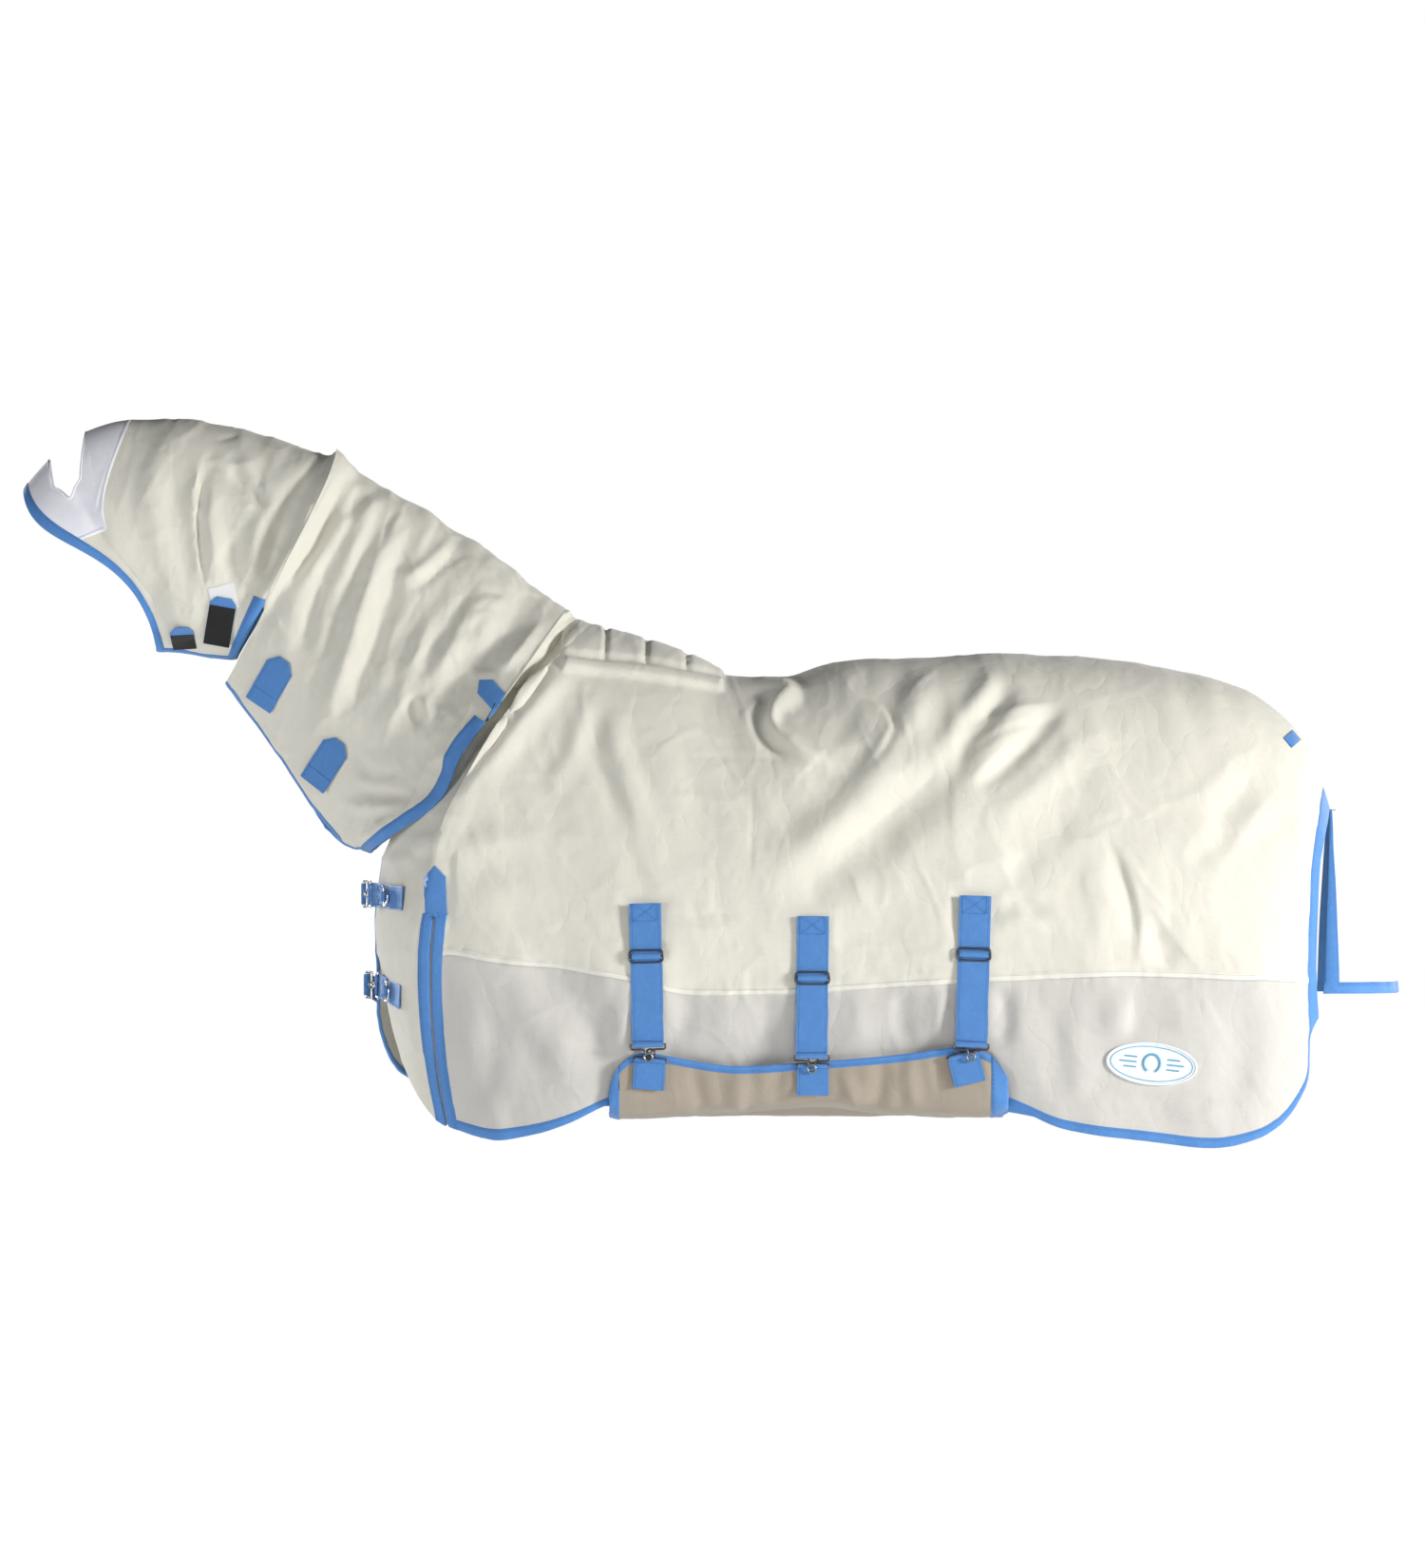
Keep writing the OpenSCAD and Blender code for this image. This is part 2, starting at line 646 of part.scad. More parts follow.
// Frame whose y axis runs from the near loop to the far loop.
module closure_frame(k) {
  a = near_loop(k);
  d = far_loop(k) - a;
  translate([a[0], a[1], closures[k][2]])
    rotate([0, 0, -atan2(d[0], d[1])])
      children();
}
module near_tab_frame(k, slope) {
  c = closures[k];
  translate([c[0], c[1], c[2]])
    rotate([0, 0, c[3]])
      rotate([0, slope, 0])
        children();
}
module far_tab_frame(k, slope) {
  c = closures[k];
  mirror([0, 1, 0])
    translate([c[4], -c[5], c[2]])
      rotate([0, 0, c[6]])
        rotate([0, slope, 0])
          children();
}
// Turn of webbing round a bar that stands at x, y.
module keeper(x, y, height, radius) {
  translate([x, y, -height / 2])
    difference() {
      cylinder(r = radius, h = height);
      translate([0, 0, -1]) cylinder(r = 2.8, h = height + 2);
    }
}
ring_at = 56;
ring_lift = 6.6;
module chest_tabs_near() {
  color(blue)
    for (k = [0, 1]) {
      near_tab_frame(k, closures[k][7]) {
        translate([3, -2.6, -chest_width / 2]) cube([tab_length - 3, 2.6, chest_width]);
        keeper(ring_at, -ring_lift, 16, 4.6);
      }
      near_tab_frame(k, 0) {
        keeper(-2, -3.6, chest_width - 5, 4.8);
        translate([1.2, -2.3, -chest_width / 2 + 2.5]) cube([4.5, 2, chest_width - 5]);
      }
    }
}
module chest_tabs_far() {
  color(blue)
    for (k = [0, 1]) {
      far_tab_frame(k, closures[k][7])
        translate([3, -2.6, -chest_width / 2]) cube([tab_length - 3, 2.6, chest_width]);
      far_tab_frame(k, 0) {
        keeper(-2, -3.6, chest_width - 5, 4.8);
        translate([1.2, -2.3, -chest_width / 2 + 2.5]) cube([4.5, 2, chest_width - 5]);
      }
    }
}
// D-ring lying in y and z: the straight bar at y = 0, the bow towards +y.
module d_ring(wide) {
  r = wide / 2 + ring_wire / 2 + 1;
  translate([0, 0, -r]) cylinder(d = ring_wire, h = 2 * r);
  for (z = [-r, r])
    translate([0, 0, z]) sphere(d = ring_wire);
  rotate([0, -90, 0])
    rotate_extrude(angle = 180)
      translate([r, 0]) circle(d = ring_wire);
}
module front_d_rings() {
  color(steel)
    for (k = [0, 1])
      closure_frame(k) d_ring(chest_width - 4);
}
// Spare rings stitched half way along the near tabs.
module spare_d_ring(k) {
  color(steel)
    near_tab_frame(k, closures[k][7])
      translate([ring_at, -ring_lift, 0])
        rotate([0, 0, -90])
          d_ring(chest_width - 14);
}
module spare_d_ring_1() {
  spare_d_ring(0);
}
module spare_d_ring_2() {
  spare_d_ring(1);
}
// Snap, drawn along +x from the swivel towards the hook.
module snap_frame(k) {
  closure_frame(k)
    translate([0, bow + 21, 0])
      rotate([0, 0, -90])
        children();
}
module snap_body(k) {
  color(steel)
    snap_frame(k) {
      difference() {
        union() {
          translate([-14, -6.5, -4.5]) cube([26, 14.5, 9]);
          translate([-16, 0, 0]) rotate([0, 90, 0]) cylinder(r = 5.5, h = 4);
        }
        translate([-12.5, 5.8, 0]) rotate([0, 90, 0]) cylinder(r = 2.4, h = 26);
        translate([-9.5, 4.4, 0]) cube([11.5, 2.8, 6]);
      }
      translate([11.5, -5.8, 0]) rotate([0, 90, 0]) cylinder(r = 2.3, h = 9.5);
      translate([21, 0, 0])
        rotate([0, 0, -90])
          rotate_extrude(angle = 180)
            translate([5.8, 0]) circle(r = 2.3);
      translate([21, 5.8, 0]) sphere(r = 2.3);
      translate([-22, 0, 0]) rotate([0, 90, 0]) cylinder(r = 2.5, h = 7);
      translate([-24.4, 0, 0]) rotate([0, 90, 0]) cylinder(r = 4.2, h = 2.4);
    }
}
module snap_body_1() {
  snap_body(0);
}
module snap_body_2() {
  snap_body(1);
}
module snap_bolt(k) {
  color(steel)
    snap_frame(k) {
      translate([-4, 5.8, 0]) rotate([0, 90, 0]) cylinder(r = 2, h = 22.2);
      translate([-1, 5.8, 0]) cylinder(r = 1, h = 7);
      translate([-1, 5.8, 6.8]) sphere(r = 2);
    }
}
module snap_bolt_1() {
  snap_bolt(0);
}
module snap_bolt_2() {
  snap_bolt(1);
}
// Swivel eyes: a hub round the snap post and a loop held by the far tab.
module snap_eyes() {
  hub = bow + 40;
  wire = 3.6;
  color(steel)
    for (k = [0, 1]) {
      reach = norm(far_loop(k) - near_loop(k));
      snap_frame(k)
        difference() {
          translate([-21.6, 0, 0]) rotate([0, 90, 0]) cylinder(r = 6, h = 5.2);
          translate([-22.6, 0, 0]) rotate([0, 90, 0]) cylinder(r = 2.9, h = 8);
        }
      closure_frame(k) {
        for (a = [-1, 1]) {
          translate([0, hub, a > 0 ? 5 : -bow]) cylinder(d = wire, h = bow - 5);
          translate([0, hub, a * bow]) rotate([-90, 0, 0]) cylinder(d = wire, h = reach - hub);
          translate([0, hub, a * bow]) sphere(d = wire);
          translate([0, reach, a * bow]) sphere(d = wire);
        }
        translate([0, reach, -bow]) cylinder(d = wire, h = 2 * bow);
      }
    }
}

// Touch tape tabs across the front of the neck. Each entry: x, y and z of the lower end,
// tilt out from the vertical, turn, slant.
neck_tabs = [
  [-778.5, -79.2, -38.6, 10.4, -20.6, 34],
  [-692.9, -90.7, -164.1, 9.9, -23.9, 37.8]
];
module neck_tab_frame(k) {
  c = neck_tabs[k];
  translate([c[0], c[1], c[2]])
    rotate([0, 0, c[4]])
      rotate([c[3], 0, 0])
        rotate([0, c[5], 0])
          children();
}
module neck_tab(k) {
  w = neck_tab_width / 2;
  l = neck_tab_length;
  color(blue)
    neck_tab_frame(k)
      plate(2.4)
        polygon([[-w, 0], [w, 0], [w, l - 16], [w - 14, l], [-w + 14, l], [-w, l - 16]]);
}
module neck_tab_1() {
  neck_tab(0);
}
module neck_tab_2() {
  neck_tab(1);
}
module neck_tab_bases() {
  w = neck_tab_width / 2;
  color(blue)
    mirror([0, 1, 0])
      for (k = [0, 1])
        neck_tab_frame(k) {
          plate(2.4)
            polygon([[-w, 0], [w, 0], [w, 60], [-w, 60]]);
        }
}
// Hook tape tabs under the throat. Each entry: x, y, z of the lower end, tilt, turn, slant,
// width, length.
throat_tabs = [
  [-845.1, -72.5, 57.3, 19.8, -4.2, 10.8, 42, 80],
  [-895.3, -49.4, 52.5, 43.5, -6.6, -4, 38, 44]
];
module throat_tab_frame(k) {
  c = throat_tabs[k];
  translate([c[0], c[1], c[2]])
    rotate([0, 0, c[4]])
      rotate([c[3], 0, 0])
        rotate([0, c[5], 0])
          children();
}
module throat_tab(k) {
  w = throat_tabs[k][6] / 2;
  l = throat_tabs[k][7];
  color(black)
    throat_tab_frame(k)
      plate(2.4)
        polygon([[-w, 0], [w, 0], [w, l - 10], [w - 9, l], [-w + 9, l], [-w, l - 10]]);
}
module throat_tab_1() {
  throat_tab(0);
}
module throat_tab_2() {
  throat_tab(1);
}
module throat_tab_bases() {
  color(blue)
    mirror([0, 1, 0])
      for (k = [0, 1])
        throat_tab_frame(k)
          translate([-throat_tabs[k][6] / 2, -2.4, 0]) cube([throat_tabs[k][6], 2.4, 40]);
}

side_panel_near();
side_panel_far();
skirt_panel_near();
skirt_panel_far();
chest_flap_near();
chest_flap_far();
hem_binding_near();
hem_binding_far();
rear_binding();
gusset_binding();
shoulder_gusset();
gusset_cap();
wither_pad();
rump_patch();
badge();
neck_panel_near();
neck_panel_far();
neck_binding();
neck_cap();
hood_panel_near();
hood_panel_far();
ear_panel();
hood_binding();
strap_tops();
strap_1();
strap_2();
strap_3();
adjuster_1();
adjuster_2();
adjuster_3();
adjuster_roll_1();
adjuster_roll_2();
adjuster_roll_3();
t_hook_1();
t_hook_2();
t_hook_3();
belly_wrap();
belly_wrap_binding();
wrap_tabs();
slot_plates();
tail_flap();
tail_flap_binding();
chest_tabs_near();
chest_tabs_far();
front_d_rings();
spare_d_ring_1();
spare_d_ring_2();
snap_body_1();
snap_body_2();
snap_bolt_1();
snap_bolt_2();
snap_eyes();
neck_tab_1();
neck_tab_2();
neck_tab_bases();
throat_tab_1();
throat_tab_2();
throat_tab_bases();
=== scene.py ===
import bpy
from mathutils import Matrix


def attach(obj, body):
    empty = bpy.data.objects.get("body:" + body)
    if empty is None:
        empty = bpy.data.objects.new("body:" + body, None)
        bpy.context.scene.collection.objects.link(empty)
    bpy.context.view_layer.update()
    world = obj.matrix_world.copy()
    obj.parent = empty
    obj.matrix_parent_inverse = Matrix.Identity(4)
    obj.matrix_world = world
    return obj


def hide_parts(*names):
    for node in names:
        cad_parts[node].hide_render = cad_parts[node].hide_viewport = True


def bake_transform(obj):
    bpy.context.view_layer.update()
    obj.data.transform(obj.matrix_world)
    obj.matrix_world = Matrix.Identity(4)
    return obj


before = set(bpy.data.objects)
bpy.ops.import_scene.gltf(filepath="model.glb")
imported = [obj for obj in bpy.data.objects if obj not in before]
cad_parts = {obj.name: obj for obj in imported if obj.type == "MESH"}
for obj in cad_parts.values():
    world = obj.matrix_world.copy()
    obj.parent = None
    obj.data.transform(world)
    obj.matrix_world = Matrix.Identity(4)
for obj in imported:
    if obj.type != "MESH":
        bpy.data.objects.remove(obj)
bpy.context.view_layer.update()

import bpy
import math
import numpy as np
from mathutils import Matrix, Vector
from mathutils.bvhtree import BVHTree

# ---------------------------------------------------------------- cloth tables, mm
# Stations: top x, top z, middle x, middle z, edge x, edge z, half width, end angle, bend x, bend z.
BODY = np.array([
    [-287, 88, -455, -75, -578, -280, 130, 174], [-276, 86, -462, -128, -589, -378, 172, 174],
    [-269, 84, -468, -178, -573, -478, 205, 172], [-265, 82, -472, -215, -557, -572, 228, 166],
    [-260, 80, -479, -238, -528, -650, 240, 150], [-254, 78, -488, -248, -496, -692, 244, 141],
    [-246, 76, -474, -250, -480, -702, 246, 139], [-240, 74, -470, -250, -476, -703, 246.5, 139],
    [-232, 72, -453, -255, -460, -709, 248, 137], [-205, 64, -400, -300, -395, -722, 264, 124],
    [-160, 50, -300, -325, -335, -712, 272, 120], [-100, 32, -205, -335, -285, -695, 278, 118],
    [-40, 8, -125, -335, -230, -668, 281, 120], [30, 4, -30, -325, -140, -634, 283, 128],
    [110, 18, 75, -315, 20, -632, 284, 128], [200, 29, 180, -310, 180, -632, 284, 128],
    [300, 31, 292, -315, 320, -636, 284, 128], [390, 38, 390, -325, 414, -670, 285, 120],
    [490, 36, 495, -340, 500, -706, 285, 118], [590, 26, 600, -350, 615, -724, 283, 116],
    [680, 11, 700, -360, 725, -736, 278, 116], [760, -9, 785, -365, 800, -720, 268, 118],
    [830, -48, 840, -350, 848, -682, 252, 121], [878, -102, 872, -335, 875, -628, 236, 125],
    [904, -168, 880, -335, 883, -560, 216, 128], [914, -202, 893, -345, 897, -530, 204, 130]], float)
FAR_EDGE = np.array([
    [-578, -280, 174], [-591, -385, 174], [-590, -478, 172], [-586, -552, 166], [-571, -604, 158],
    [-547, -628, 152], [-533, -633, 150], [-529, -634, 150], [-513, -640, 148], [-410, -664, 132],
    [-335, -674, 124], [-270, -678, 121], [-205, -678, 121], [-90, -678, 120], [50, -678, 120],
    [180, -678, 120], [310, -680, 120], [410, -688, 120], [505, -706, 118], [615, -724, 116],
    [725, -736, 116], [800, -720, 118], [848, -682, 121], [875, -628, 125], [883, -560, 128],
    [897, -530, 130]], float)
# Heights of the sideways seam, at stations 8 to 25.
SEAM = [-428, -436, -446, -460, -474, -491, -490, -482, -473,
        -468, -463, -460, -463, -466, -469, -471, -472, -472]
NECK = np.array([
    [-651, 357, -716, 212, -829, -2, 112, 172], [-615, 320, -692, 150, -795, -48, 116, 172],
    [-560, 290, -650, 92, -748, -110, 122, 172], [-500, 252, -600, 40, -704, -178, 134, 172],
    [-435, 212, -542, -10, -664, -234, 147, 172], [-372, 166, -492, -58, -637, -258, 168, 172],
    [-306, 119, -463, -92, -618, -262, 200, 172], [-293, 109, -445, -104, -600, -268, 212, 172]], float)
# How far each neck station's lower half is pushed back, as the cloth is on a real neck.
NECK_BULGE = [0, 0, 0, 4, 12, 24, 30, 31]
HOOD = np.array([
    [-1149, 300, -1056, 204, -940, 52, 92, 172, -14, -18],
    [-1142, 312, -1045, 215, -927, 50, 93, 172, -12, -17],
    [-1110, 348, -1038, 218, -920, 49.5, 94, 172, -10, -21],
    [-1082, 374, -1031, 221, -913, 49, 95, 172, -8, -24],
    [-1052, 392, -1024, 224, -906, 48.5, 96, 172, -7, -26],
    [-985, 410, -1014, 228, -896, 47, 98, 172, -6, -28],
    [-905, 411, -935, 232, -880, 45, 101, 172, -2, -4],
    [-825, 400, -860, 228, -864, 42, 104, 172, 0, 0],
    [-740, 374, -795, 226, -843, 40, 107, 172, 0, 0],
    [-668, 352, -742, 222, -829, 39, 110, 172, 0, 0],
    [-652, 359, -718, 216, -815, 40, 111.5, 172, 0, 0]], float)


def at_height(s, z):
    """Where on a station the cloth passes height z, as a share of the way from top to edge."""
    a = 2 * s[1] - 4 * s[3] + 2 * s[5]
    b = -3 * s[1] + 4 * s[3] - s[5]
    c = s[1] - z
    h = 2 * c / (-b + math.sqrt(b * b - 4 * a * c))
    t = math.radians(s[7])
    return math.acos(1 - h * (1 - math.cos(t))) / t


def body_lines(st):
    """Grid lines of the body stations: 0 is the top, 8 the sideways seam and 12 the edge."""
    out = []
    for i, row in enumerate(st):
        s = 0.79 if i < 8 else at_height(row, SEAM[i - 8])
        out.append([0, 0.08, 0.19, 0.31, 0.44, 0.57, 0.70, (0.70 + s) / 2, s,
                    s + (0.972 - s) / 3, s + (0.972 - s) * 2 / 3, 0.972, 1])
    return np.array(out)


BODY_FAR = BODY.copy()
BODY_FAR[:, 4], BODY_FAR[:, 5], BODY_FAR[:, 7] = FAR_EDGE[:, 0], FAR_EDGE[:, 1], FAR_EDGE[:, 2]
NECK_LINES = np.array([[0, 0.12, 0.24, 0.36, 0.46, 0.58, 0.70, 0.82, 0.962, 1]] * 8)
EAR_TOP = [0.11, 0.11, 0.14, 0.09, 0.12, 0.11]
EAR_LOW = [0.28, 0.28, 0.23, 0.32, 0.27, 0.30]
HOOD_LINES = np.array([
    [0, a, (a + b) / 2, b, 0.485, 0.6, 0.7, 0.82, 0.955, 1]
    for a, b in [(EAR_TOP[i], EAR_LOW[i]) if i < 6 else (0.11, 0.30) for i in range(11)]])


# ---------------------------------------------------------------- numbers
def smooth(t):
    t = np.clip(t, 0, 1)
    return t * t * (3 - 2 * t)


def hermite(rows, u):
    """Smooth rows of a table at fractional row numbers, with no overshoot between rows."""
    rows = np.asarray(rows, float)
    d = np.diff(rows, axis=0)
    m = np.zeros_like(rows)
    product = d[:-1] * d[1:]
    total = d[:-1] + d[1:]
    safe = np.where(np.abs(total) < 1e-9, 1, total)
    m[1:-1] = np.where(product > 0, 2 * product / safe, 0)
    m[0], m[-1] = d[0], d[-1]
    u = np.clip(np.asarray(u, float), 0, len(rows) - 1)
    k = np.minimum(u.astype(int), len(rows) - 2)
    t = (u - k)[..., None]
    a, b, ma, mb = rows[k], rows[k + 1], m[k], m[k + 1]
    return ((2 * t**3 - 3 * t**2 + 1) * a + (t**3 - 2 * t**2 + t) * ma
            + (-2 * t**3 + 3 * t**2) * b + (t**3 - t**2) * mb)


LATTICES = {}
LATTICE_SIZE = 64


def grain(x, y, seed):
    """Smooth value noise from -1 to 1."""
    n = LATTICE_SIZE
    if seed not in LATTICES:
        LATTICES[seed] = np.random.RandomState(seed).rand(n, n) * 2 - 1
    g = LATTICES[seed]
    x, y = np.asarray(x, float) + 1000, np.asarray(y, float) + 1000
    i, j = np.floor(x).astype(int), np.floor(y).astype(int)
    a, b = x - i, y - j
    a, b = a * a * a * (a * (a * 6 - 15) + 10), b * b * b * (b * (b * 6 - 15) + 10)
    p, q = g[i % n, j % n], g[(i + 1) % n, j % n]
    r, s = g[i % n, (j + 1) % n], g[(i + 1) % n, (j + 1) % n]
    return p * (1 - a) * (1 - b) + q * a * (1 - b) + r * (1 - a) * b + s * a * b


def crumple(x, y, seed):
    """Sharp little ridges where the noise changes sign, from 0 to 1."""
    bend = 0.35 * grain(x * 0.6 + 7, y * 0.6, seed + 1)
    a = 1 - np.minimum(1, 3.0 * np.abs(grain(x + bend, y - bend, seed)))
    b = 1 - np.minimum(1, 3.0 * np.abs(grain(1.9 * x + 3, 1.9 * y + 5, seed + 2)))
    return a * a + 0.5 * b * b


def spline(points, steps=8):
    """Catmull-Rom line through the points."""
    p = np.asarray(points, float)
    if len(p) < 3:
        t = np.linspace(0, 1, steps + 1)[:, None]
        return p[0] * (1 - t) + p[-1] * t
    ext = np.vstack([2 * p[0] - p[1], p, 2 * p[-1] - p[-2]])
    out = []
    for k in range(1, len(ext) - 2):
        a, b, c, d = ext[k - 1], ext[k], ext[k + 1], ext[k + 2]
        for n in range(steps):
            t = n / steps
            out.append(0.5 * (2 * b + (c - a) * t + (2 * a - 5 * b + 4 * c - d) * t * t
                              + (3 * b - a - 3 * c + d) * t**3))
    out.append(p[-1])
    return np.array(out)


def run_along(points):
    """How far along a line each of its points lies."""
    return np.concatenate([[0], np.cumsum(np.linalg.norm(np.diff(points, axis=0), axis=1))])


def spaced(points, gap):
    """The same line with points about gap apart."""
    p = spline(points, 16)
    far = run_along(p)
    n = max(int(round(far[-1] / gap)), 2)
    at = np.linspace(0, far[-1], n + 1)
    return np.stack([np.interp(at, far, p[:, k]) for k in range(p.shape[1])], 1)


# ---------------------------------------------------------------- folds
# Each fold: kind, height, half width, then the points it runs through (x, z).
BODY_FOLDS = [
    ("line", -1.3, 3.0, [(-171, -121), (-80, -123), (4, -121), (140, -136)]),
    ("line", -1.5, 3.2, [(4, -119), (2, -220), (-1, -330)]),
    ("step", 2.4, 16, [(309, 20), (312, -90), (314, -220), (318, -340)]),
    ("soft", 7.0, 11, [(-30, -8), (30, -8), (62, -16), (38, -44), (34, -74), (70, -104),
                       (120, -130), (170, -150)]),
    ("soft", -5.0, 12, [(-24, -24), (20, -30), (14, -64), (36, -104), (90, -134)]),
    ("soft", -11.0, 36, [(50, -20), (100, -40), (150, -72), (176, -104)]),
    ("step", 5.0, 9, [(176, -146), (205, -112), (222, -74), (206, -44), (166, -26)]),
    ("soft", 7.0, 22, [(330, 10), (272, -30), (238, -84), (196, -140), (130, -200)]),
    ("line", 3.0, 7, [(300, 12), (262, -14), (236, -48)]),
    ("soft", -4.5, 30, [(150, -6), (206, -10), (262, 4)]),
    ("soft", 9.0, 30, [(340, -60), (262, -128), (170, -200), (80, -270), (10, -330)]),
    ("soft", -7.0, 34, [(372, -84), (300, -150), (200, -236), (110, -306), (40, -360)]),
    ("line", -2.6, 7, [(330, -100), (270, -166), (190, -230), (120, -280)]),
    ("soft", 5.0, 16, [(392, 20), (366, -30), (336, -70)]),
    ("soft", -7.0, 15, [(418, 4), (392, -34), (334, -104), (318, -180)]),
    ("line", 4.0, 6, [(318, -100), (372, -66), (436, -46), (500, -34)]),
    ("line", -3.4, 6, [(330, -128), (384, -92), (446, -68), (510, -52)]),
    ("line", 3.2, 6, [(332, -170), (392, -118), (452, -86)]),
    ("soft", 5.0, 18, [(452, -20), (400, -80), (352, -150)]),
    ("soft", -6.5, 13, [(502, -30), (470, -62), (429, -108), (340, -190)]),
    ("soft", 4.0, 20, [(560, -60), (500, -120), (420, -190), (350, -260)]),
    ("soft", -4.0, 26, [(560, -150), (490, -220), (420, -300), (380, -370)]),
    ("line", -2.2, 4.5, [(594, -212), (556, -226), (518, -250)]),
    ("step", 6.5, 12, [(562, -240), (590, -305), (607, -375), (604, -462)]),
    ("line", 2.4, 5.0, [(586, -262), (620, -322), (655, -360), (684, -380)]),
    ("line", 2.6, 5.5, [(610, -322), (655, -390), (712, -462)]),
    ("soft", -5.0, 20, [(626, -372), (646, -420), (664, -462)]),
    ("soft", 3.5, 26, [(540, -260), (556, -340), (566, -430)]),
    ("line", -1.0, 4.0, [(618, -50), (622, -100), (630, -180), (634, -260)]),
    ("soft", -2.6, 20, [(718, -240), (760, -190), (812, -130)]),
    ("soft", 2.6, 18, [(740, -280), (790, -220), (830, -180)]),
    ("soft", -2.2, 16, [(690, -300), (730, -260), (770, -236)]),
    # shoulder, withers
    ("soft", -7.0, 12, [(-300, 56), (-340, 6), (-387, -53), (-448, -141), (-490, -214)]),
    ("soft", 5.5, 15, [(-272, 34), (-318, -18), (-370, -84), (-430, -170)]),
    ("soft", 3.0, 14, [(-236, 4), (-262, -60), (-290, -130), (-330, -200)]),
    ("soft", -3.2, 16, [(-230, -36), (-250, -76), (-218, -190), (-196, -250)]),
    ("soft", 3.0, 18, [(-206, -30), (-214, -100), (-180, -190), (-160, -260)]),
    ("line", -1.6, 5.0, [(-420, -176), (-360, -160), (-300, -166)]),
    ("line", -1.2, 5.0, [(-404, -196), (-370, -226), (-330, -232)]),
    ("soft", 3.0, 20, [(-480, -280), (-400, -250), (-320, -260)]),
    ("soft", -2.4, 22, [(-470, -330), (-400, -300), (-330, -320)]),
    ("soft", -3.0, 14, [(-556, -330), (-520, -300), (-470, -258)]),
    ("soft", 3.0, 14, [(-548, -300), (-520, -278), (-480, -236)]),
    # around the straps
    ("line", -1.8, 6, [(-132, -366), (-90, -372), (-40, -366), (6, -380)]),
    ("line", 1.6, 7, [(-128, -384), (-70, -392), (-20, -386)]),
    ("line", -1.5, 6, [(-60, -318), (-50, -356), (-36, -400)]),
    ("line", -1.5, 6, [(-100, -330), (-84, -372), (-70, -410)]),
    ("soft", -3.0, 14, [(-200, -400), (-160, -420), (-120, -408)]),
    ("line", -1.6, 6, [(140, -404), (180, -396), (230, -404)]),
    ("line", 1.6, 7, [(138, -422), (190, -418), (250, -428)]),
    ("soft", -3.0, 12, [(384, -360), (420, -350), (470, -372)]),
    ("soft", 2.4, 12, [(384, -384), (430, -378), (480, -396)]),
    # skirt
    ("soft", -8.0, 34, [(-372, -436), (-310, -474), (-256, -530), (-236, -590), (-240, -650)]),
    ("soft", 5.0, 30, [(-420, -470), (-350, -524), (-300, -580), (-286, -650)]),
    ("line", -2.4, 7, [(-330, -448), (-276, -462), (-220, -468)]),
    ("line", -3.0, 8, [(-300, -566), (-262, -574), (-222, -600)]),
    ("soft", 4.0, 14, [(-214, -500), (-206, -540), (-212, -590)]),
    ("soft", -3.4, 20, [(-420, -500), (-408, -580), (-420, -680)]),
    ("soft", -4.0, 16, [(-116, -470), (-104, -520), (-110, -580)]),
    ("soft", 4.0, 24, [(-60, -470), (-40, -520), (-50, -580)]),
    ("soft", -3.6, 18, [(20, -480), (26, -530), (20, -590)]),
    ("soft", 3.4, 20, [(160, -480), (170, -530), (180, -580)]),
    ("soft", -4.0, 18, [(230, -470), (240, -520), (236, -580)]),
    ("soft", 3.6, 14, [(300, -470), (296, -520), (290, -570)]),
    ("soft", -5.0, 14, [(392, -470), (400, -520), (394, -590)]),
    ("step", -4.0, 14, [(600, -462), (594, -540), (576, -610), (548, -680)]),
    ("soft", 4.5, 20, [(580, -470), (570, -560), (540, -640)]),
    ("soft", -3.0, 26, [(470, -480), (480, -570), (470, -680)]),
    ("soft", 3.0, 26, [(690, -480), (700, -560), (690, -700)]),
    ("soft", -3.0, 24, [(770, -480), (776, -580), (760, -690)]),
    ("soft", 2.6, 16, [(640, -660), (700, -680), (760, -670)]),
]
